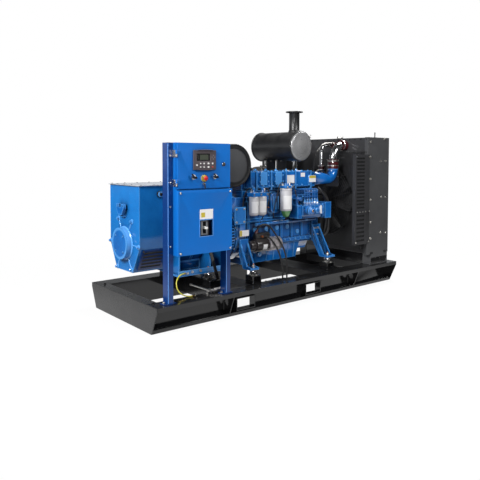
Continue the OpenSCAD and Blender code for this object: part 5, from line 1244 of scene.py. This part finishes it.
# %% Block side and oil cooler
rows = [(x, -230, 1010) for x in range(-330, 500, 83)] + [(x, -213, 566) for x in range(-370, 560, 77)]
piece("block_bolts", bolts(rows, "-y", 15, 9), "engine_blue")
ledge = outline_prism([(-190, 818), (-224, 800), (-230, 792), (-230, 784), (-190, 776)], (0, 0, 0), -368, 168, "+x")
piece("block_ledge", [ledge], "engine_blue", bevel=2)
plug = [(0, 5), (15, 5), (18, 7.5), (23, 8), (25, 5), (25, 0), (0, 0)]
plug_places = ((-230, 905), (-80, 700), (70, 700), (220, 700), (-230, 700), (370, 640))
piece("core_plugs", [turned(plug, (x, -195, z), "-y", 28) for x, z in plug_places], "engine_blue")
cooler = [round_box((-72, -262, 862), (64, -190, 1068), 44, "+y"),
          round_box((-84, -212, 850), (76, -190, 1080), 50, "+y")]
piece("oil_cooler_cover", cooler, "engine_blue", bevel=9)
fins = [tube([(x, -262, z) for z in (900, 960, 1030)], 5, (0, 1, 0), 10) for x in (-36, -4, 28)]
piece("oil_cooler_ribs", fins, "engine_blue")
piece("oil_cooler_bolts", bolts(circle(-4, -212, 965, (72, 105), evenly(8, 22), "y"), "-y", 12, 8), "engine_blue")
print("block bolts:", len(rows))

# %% [markdown]
# Six delivery nuts stand on the pump in a row, 38 mm apart. From each a blue line rises, bends over and
# dives towards its head: the six routes are one route, shifted along the pump.

# %% Injection lines
outlets = [(345 + 38 * i, -330, 930) for i in range(6)]
holder = [(0, 58), (7, 57), (9, 52), (9, 40), (12, 38), (12, 28), (0, 28)]
holders = [turned(holder, place, sides=16) for place in outlets]
piece("delivery_nuts", bolts(outlets, "+z", 24, 30) + holders, "engine_blue")
line_route = np.array([(0, 0, 50), (0, 0, 60), (0, 0, 100), (1, -1, 136), (3, 6, 158), (4, 30, 166),
                       (4, 62, 162), (4, 94, 152), (4, 125, 144), (4, 134, 142)])
lines = [tube(smooth_route(line_route + place, 5), 4, (1, 0.05, 0), 10) for place in outlets]
piece("injection_line_pipes", lines, "line_blue", instead_of=("injection_lines",))
line_clips = [round_box((340, -336, z), (540, -324, z + 9), 3) for z in (1012, 1052)]
piece("injection_line_clips", line_clips, "line_blue", bevel=1)
print("injection lines:", len(lines))

# %% [markdown]
# The pump's body carries a round feed pump with a brass centre, a hand primer, three covers and ribs.
# The round ones are turned, and the ribs are tubes sunk halfway into the wall, which look cast.

# %% Injection pump
feed = [(0, 26), (13, 26), (15, 22), (30, 20), (34, 16), (34, 8), (41, 6), (44, 2), (44, -6), (0, -6)]
piece("feed_pump", [turned(feed, (300, -462, 880), "-y", 36)], "engine_blue")
piece("feed_pump_centre", [turned([(0, 6), (9, 5.5), (12, 3), (12, 0), (0, 0)], (300, -487, 880), "-y", 24)], "brass")
piece("feed_pump_bolts", bolts(circle(300, -468, 880, 35, evenly(6, 15), "y"), "-y", 9, 6), "line_blue")
primer = [(0, 62), (15, 61), (20, 57), (21, 48), (13, 44), (12, 22), (17, 20), (22, 16), (22, 0), (0, 0)]
primer_post = [(0, 70), (10, 70), (14, 66), (14, 0), (0, 0)]
piece("priming_pump", [turned(primer, (208, -350, 1000), "-y", 28),
                       turned(primer_post, (208, -350, 935), "+z", 20)], "line_blue")
bellies = [turned([(0, 14), (20, 13), (27, 9), (30, 0), (0, 0)], (x, -400, 872), "-y", 28) for x in (385, 455, 525)]
piece("pump_covers", bellies, "engine_blue")
ribs = [tube([(x, -398, z) for z in (838, 870, 926)], 4.5, (0, 1, 0), 8) for x in (350, 420, 490, 552)]
piece("pump_ribs", ribs, "engine_blue")
pump_bolts = [(x, -400, z) for x in (350, 420, 490) for z in (842, 920)] + [(205, -390, z) for z in (820, 924)]
pump_bolts += [(x, -400, z) for x in (556, 566) for z in (812, 930)]
piece("pump_bolts", bolts(pump_bolts, "-y", 12, 8), "line_blue")
piece("pump_blank_plate", [round_box((497, -417, 838), (513, -399, 922), 2, "+y")], "label_white", bevel=0.5)
print("pump bolts:", len(pump_bolts))

# %% [markdown]
# Low on the block, a hose runs down to the sump, whose casting has ribs, plugs and a rail of bolts. The
# timing case closes the front, and the front feet are bolted on below it. Where both flanks have the
# same bolts, one list of places serves for the two of them.

# %% Sump, oil hose and front end
hose = smooth_route([(640, -244, 1104), (650, -262, 1080), (676, -286, 1034), (702, -296, 975), (718, -298, 900),
                     (724, -296, 820), (730, -286, 740), (738, -262, 650), (742, -236, 590), (730, -216, 556),
                     (700, -212, 548), (664, -212, 547)], 6)
piece("oil_hose", [tube(hose, 11, (0.3, 0.2, 0.1), 14)], "grip_black")
union = [(7, 0), (15, 0), (15, 18), (12, 20), (12, 30), (7, 30)]
piece("tube_unions", [turned(union, (x, -240, 760), "+x", 6) for x in (-120, 160, 440)], "line_blue")
sump_ribs = [tube([(x, -171, 518), (x, -166, 480), (x, -152, 366)], 5, (1, 0, 0), 10)
             for x in (-330, -40, 60, 160, 260, 350)]
piece("sump_ribs", sump_ribs, "engine_blue")
drain = [(0, 10), (10, 10), (12, 8), (12, 4), (22, 4), (24, 2), (24, 0), (0, 0)]
piece("sump_plugs", [turned(drain, (x, -182, 445), "-y", 6 if x < -200 else 24) for x in (-270, -150)], "engine_blue")
rail_bolts = [(x, s * 198, 585) for x in range(-370, 560, 77) for s in (-1, 1)]
piece("sump_rail_bolts", bolts(rail_bolts, "+z", 13, 8), "line_blue")
foot_bolts = [(x, 238.6, z) for x in (590, 618, 648) for z in (590, 660)]
piece("front_foot_bolts", both_sides(bolts, foot_bolts, 15), "mount_steel")
case_bolts = [(665, y, z) for y in (-190, 190) for z in (1040, 800, 640)]
case_bolts += [(665, y, z) for y, z in ((-190, 940), (-120, 560), (120, 560))]
piece("timing_case_bolts", bolts(case_bolts, "+x", 15), "engine_blue")
print("engine pieces:", len(made))

# %% [markdown]
# The radiator is folded sheet, so screws and a seam tell its construction, and dark ovals of painted
# shade stand for the openings in its feet. Behind the slotted guards hangs a black sheet of painted shade,
# which hides the fan.

# %% Radiator panels and guards
side_y, sides = 545, (-1, 1)
spots = [(1158, 1433), (1160, 1190), (1164, 958), (1169, 707), (1173, 524), (1346, 1387), (1436, 1387), (1363, 984),
         (1442, 981), (1353, 579), (1452, 571), (1406, 1636), (1158, 1600)]
side_bolts = [(x, side_y, z) for x, z in spots]
piece("radiator_side_bolts", both_sides(bolts, side_bolts, 20, 9), "mount_steel")
# Painted shade: thin near-black ovals where the feet's openings show dark.
hollows = [round_box((x - 26, s * side_y - 1.6, 346), (x + 26, s * side_y + 1.6, 372), 22, "+y")
           for x in (1198, 1440) for s in sides]
piece("radiator_foot_painted_shade", hollows, "slot_painted_shade_black")
piece("radiator_base_sill", [round_box((1187, -436, 229.5), (1194, 436, 344.5), 3, "+x")], "skid_black", bevel=1)
seam = [round_box((900, s * 562 - 2.5, 826), (1143, s * 562 + 2.5, 845), 2, "+x") for s in sides]
piece("guard_seams", seam, "guard_black", bevel=1)
rivets = [(x, 564, 835) for x in (915, 960, 1010, 1060, 1125)]
piece("guard_rivets", both_sides(screws, rivets, 6), "mount_steel")
guard_bolts = [(x, 553, z) for x in (908, 1128) for z in (500, 1435)]
piece("guard_bolts", both_sides(bolts, guard_bolts, 13, 7), "mount_steel")
# Painted shade: a near-black sheet behind each guard's slots.
painted_shade_sheets = [round_box((904, s * 541 - 1.5, 482), (1104, s * 541 + 1.5, 1452), 4, "+y") for s in sides]
piece("guard_painted_shade_sheets", painted_shade_sheets, "slot_painted_shade_black")
plate = [round_box((1115.4, -372, 1392), (1117.2, -268, 1462), 2, "+x")]
piece("radiator_blank_plate", plate, "label_white")
piece("radiator_plate_mark", [round_box((1114.8, -371, 1436), (1116, -269, 1461), 2, "+x")], "label_yellow")
print("side bolts:", len(spots))

# %% [markdown]
# The core's fins are one zigzag sheet: x = 1414 + 7 (n mod 2) at every fold n, with a fold each 5 mm and
# a flat back 2 mm behind the valleys. Seven bars cross it. The tank has its cap and a row of bolts.

# %% Radiator core and tank
folds = 213
across = np.linspace(-530, 530, folds)
depth = 1414 + 7 * (np.arange(folds) % 2)
sheet = np.stack([np.column_stack([depth, across, np.full(folds, z)]) for z in (418, 1482)])
back = np.stack([np.column_stack([np.full(folds, 1412.0), across, np.full(folds, z)]) for z in (1482, 418)])
piece("core_fins", [grid(np.vstack([sheet, back]), close_rows=True, close_columns=False)], "fins", sharp=20)
bars = [round_box((1412, -532, z), (1424, 532, z + 7), 2, "+y") for z in range(520, 1440, 150)]
piece("core_bars", bars, "radiator_grey")
cap = [(0, 30), (20, 30), (33, 26), (35, 22), (35, 6), (30, 2), (30, 0), (0, 0)]
piece("radiator_cap", [knurled(cap, (1293, 0, 1648), "+z", 16, 0.03)], "steel_pipe")
rod = [(0, 62), (2.5, 60), (3, 54), (7, 52), (7, 46), (3, 44), (3, 6), (9, 4), (9, 0), (0, 0)]
piece("overflow_rod", [turned(rod, (1313, -485, 1646), "+z", 16)], "drum_black")
tank_bolts = [(1117, y, z) for y in range(-520, 521, 80) for z in (1486, 1630)]
piece("tank_bolts", bolts(tank_bolts, "-x", 12, 7), "grip_black")
print("folds:", folds, "bars:", len(bars))

# %% [markdown]
# The fan is a hub with eight twisted blades in place of the drawing's flat ones. The tip moves faster
# than the root, so the pitch falls with the radius: pitch = 46 - 22 (r - 66) / 306 degrees. The
# chord's camber is 9 (1 - t^2), with t from -1 to 1 across the blade.

# %% Fan
fan = np.array([1045.0, 0.0, 935.0])
root, tip = 66, 372
reach = np.linspace(root, tip, 9)
share = (reach - root) / (tip - root)
chord = np.linspace(-0.5, 0.5, 7)
blades = []
for turn in np.radians(evenly(8, 12)):
    pitch = np.radians(46 - 22 * share)[:, None]
    wide = (92 + 30 * np.sin(share * np.pi))[:, None] * chord
    camber = 9 * (1 - (2 * chord) ** 2)
    flat = wide * np.cos(pitch) - camber * np.sin(pitch)
    lift = wide * np.sin(pitch) * 0.62 + camber * np.cos(pitch)
    out, over = np.array([0, math.cos(turn), math.sin(turn)]), np.array([0, -math.sin(turn), math.cos(turn)])
    faces = [fan + reach[:, None, None] * out + flat[..., None] * over + (lift + t)[..., None] * [1, 0, 0]
             for t in (0, 3)]
    blades.append(grid(np.concatenate([faces[0], faces[1][:, ::-1]], axis=1)))
hub = [(0, 24), (30, 24), (52, 20), (60, 12), (66, 8), (66, -14), (60, -18), (60, -60), (72, -62), (72, -70),
       (0, -70)]
piece("fan_blades", blades, "drum_black", instead_of=("cooling_fan",), sharp=60)
drive = [(0, 0), (58, 0), (58, 260), (0, 260)]
piece("fan_hub", [turned(hub, fan + (-20, 0, 0), "+x", 48), turned(drive, (722, 0, fan[2]), "+x", 40)], "grip_black")
piece("fan_hub_bolts", bolts(circle(990, 0, fan[2], 40, evenly(6)), "-x", 14), "mount_steel")
print("blades:", len(blades))

# %% [markdown]
# A wire guard stands before the fan: rings on a shallow cone, x = 994 - 0.04 (400 - r), and twelve
# spokes that run out over the rings and back to the shroud. A Wireframe modifier would give square
# wires, so each wire is a tube with few sides.

# %% Wire guard of the fan
rings = [tube(circle(994 - 0.04 * (400 - r), 0, fan[2], r, np.linspace(0, 360, 73)), 2.4, (1, 0, 0), 6, capped=False)
         for r in range(96, 411, 26)]
spoke = ((992, 90), (992, 250), (992, 406), (1052, 407))
spokes = [tube([circle(x, 0, fan[2], r, a) for x, r in spoke], 3.2, (0.2, 0.3, 0.1), 8) for a in evenly(12, 15)]
piece("fan_guard", rings + spokes, "cable_black")
print("guard wires:", len(rings) + len(spokes))

# %% [markdown]
# The charge pipe rises from the intake elbow and leans into a wide bend towards the tank. A polished
# tube with a slow curve stands for the drawing's tight one. Worm clamps hold every hose.

# %% Pipes and hose clamps
near_side = [(916, 1330), (916, 1350), (917, 1400), (925, 1450), (945, 1497), (980, 1533), (1024, 1555),
             (1066, 1564), (1090, 1565), (1107, 1565)]
near_run = smooth_route([(x, -215, z) for x, z in near_side], 6)
far_side = [(300, 1228), (520, 1228), (740, 1228), (816, 1230), (866, 1242), (900, 1276), (914, 1325), (916, 1400),
            (920, 1470), (938, 1522), (975, 1552), (1030, 1564), (1080, 1565), (1107, 1565)]
far_run = [(201, 309, 1228), (203, 330, 1228), (216, 352, 1228), (240, 364, 1228)]
far_run = smooth_route(far_run + [(x, 365, z) for x, z in far_side], 6)
piece("charge_pipe_near", [tube(near_run, 43, (0, 1, 0.02), 32)], "polished", instead_of=("charge_pipes",))
piece("charge_pipe_far", [tube(far_run, 34, (0.1, 0.3, 1), 24)], "polished")
coolant_side = [(877, 1290), (877, 1330), (877, 1450), (878, 1510), (888, 1544), (915, 1563), (950, 1569),
                (1040, 1570), (1107, 1570)]
coolant_run = smooth_route([(x, -80, z) for x, z in coolant_side], 6)
piece("coolant_pipe", [tube(coolant_run, 19, (0, 1, 0), 24)], "polished", instead_of=("coolant_pipes",))
vent_rise = smooth_route([(779, -96, 1490), (800, -96, 1510), (840, -94, 1545), (880, -90, 1572), (930, -88, 1588),
                          (1000, -88, 1592), (1113, -88, 1592)], 5)
piece("vent_pipe", [tube(vent_rise, 7, (0, 1, 0), 12)], "steel_pipe")
vent_drop = smooth_route([(779, -96, 1490), (760, -98, 1470), (736, -100, 1400), (728, -100, 1320),
                          (724, -100, 1262)], 5)
piece("vent_pipe_drop", [tube(vent_drop, 7, (0, 1, 0), 12)], "cable_black")
print("charge pipe points:", len(near_run))

# %% [markdown]
# Where a pipe meets rubber, a worm clamp grips the hose, and the red hose has a bead at each end. One
# function draws a clamp and only the pipe's radius changes, as with clamps from one box of spares.

# %% Hose clamps and shield bolts
clamps = []
for x, y, r, wide, heights in ((916, -215, 60.4, 13, (1329, 1382)), (877, -80, 31.4, 11, (1284, 1326))):
    for z in heights:
        clamps += clamp((x, y, z), "+z", r, wide)
for y, r, z in ((-215, 57.4, 1565), (365, 43.4, 1565), (-80, 32.4, 1570)):
    clamps += clamp((1056, y, z), "+x", r, 12)
piece("hose_clamps", clamps, "mount_steel")
bead = [(48.4, 0), (61.6, 0), (62.6, 3), (61.6, 7), (48.4, 7), (48.4, 0)]
piece("charge_hose_beads", [turned(bead, (916, -215, z), "+z", 40) for z in (1324, 1398)], "silicone_red")
shield_bolts = [(978, y, z) for y in (-238, -82) for z in (1214, 1400)]
piece("shield_bolts", bolts(shield_bolts, "-x", 12, 7), "mount_steel")
print("clamp parts:", len(clamps))

# %% [markdown]
# The far side isn't in the photograph. It follows common practice for such an engine: bolted exhaust
# flanges, a turbocharger held by V-bands, a grooved belt drive and a vented charging alternator.

# %% Exhaust and turbocharger
port_bolts = [(x + 67 + a, 165, 1138 + b) for x in head_x for a, b in ((-30, -28), (30, 28))]
piece("exhaust_flange_bolts", bolts(port_bolts, "+y", 15), "mount_steel")
turbo = np.array([316.0, 240.0, 1254.0])
volute = [(20, -110), (38, -112), (60, -118), (68, -130), (70, -142), (66, -158), (56, -166), (50, -170),
          (50, -198), (46, -200), (40, -200), (20, -150), (20, -110)]
bands = [turned([(r, -5), (r + 5, -4), (r + 2, 0), (r + 5, 4), (r, 5), (r, -5)], turbo + (x, 0, 0), "+x", 44)
         for r, x in ((61, -46), (66.5, -112), (61, 44))]
piece("turbo_volute", [turned(volute, turbo, "+x", 56)], "steel_pipe")
piece("turbo_bands", bands, "mount_steel")
dome = [(0, 52), (30, 51), (48, 47), (58, 40), (60, 30), (60, 0), (0, 0)]
piece("turbine_end", [turned(dome, turbo, "+x", 44)], "cast_iron")
piece("turbo_bolts", bolts(circle(*(turbo + (46, 0, 0)), 45, evenly(6)), "+x", 13), "mount_steel")
oil_line = smooth_route([(270, 240, 1190), (268, 252, 1180), (262, 268, 1140), (250, 262, 1080), (240, 240, 1040),
                         (236, 222, 1000), (236, 206, 980), (236, 196, 972)], 6)
piece("turbo_oil_line", [tube(oil_line, 7, (1, 0, 0.2), 12)], "steel_pipe")
piece("neck_flange_bolts", bolts(circle(316, 240, 1332, 58, evenly(4, 45), "z"), "+z", 14), "mount_steel")
print("port bolts:", len(port_bolts))

# %% [markdown]
# The belt side has a grooved damper on the crank and a charging alternator with vents round its drum.
# A groove is a V between flat lands, so a rim is a list of radii that dips once per groove.


# %% Belt side
def grooves(r, start, count, step, depth=4):
    """A pulley's rim: count V-grooves of a given depth between flat lands."""
    rim = [(0, start)]
    for i in range(count):
        at = start + i * step
        rim += [(r, at), (r, at + step * 0.25), (r - depth, at + step * 0.5), (r, at + step * 0.75)]
    return rim + [(r, start + count * step), (0, start + count * step)]


face = [(0, 6), (20, 6), (24, 2), (84, 2), (92, -3), (96, -3), (96, -8), (0, -8)]
damper = [turned(grooves(104.5, 0, 1, 28, 3), (691, 0, shaft_z), "+x", 64), turned(face, (721, 0, shaft_z), "+x", 56)]
piece("crank_damper", damper, "grip_black")
piece("crank_bolts", bolts(circle(723, 0, shaft_z, 42, evenly(6)), "+x", 15), "mount_steel")
vents = [tube([circle(x, 300, 1020, 69, a) for x in (552, 668)], 3.5, (0.1, 0.7, 0.7), 8) for a in evenly(18)]
piece("charging_alternator_ribs", vents, "steel_pipe")
back = [(0, -14), (20, -14), (24, -8), (54, -8), (62, -4), (66, 0), (0, 0)]
piece("charging_alternator_back", [turned(back, (535, 300, 1020), "+x", 40)], "grip_black")
stays = [round_box((596, 192, 1066), (612, 268, 1084), 4, "+x"), round_box((640, 192, 950), (656, 300, 968), 4, "+x")]
piece("charging_alternator_stays", stays, "engine_blue", bevel=1.5)
print("pieces in all:", len(made))
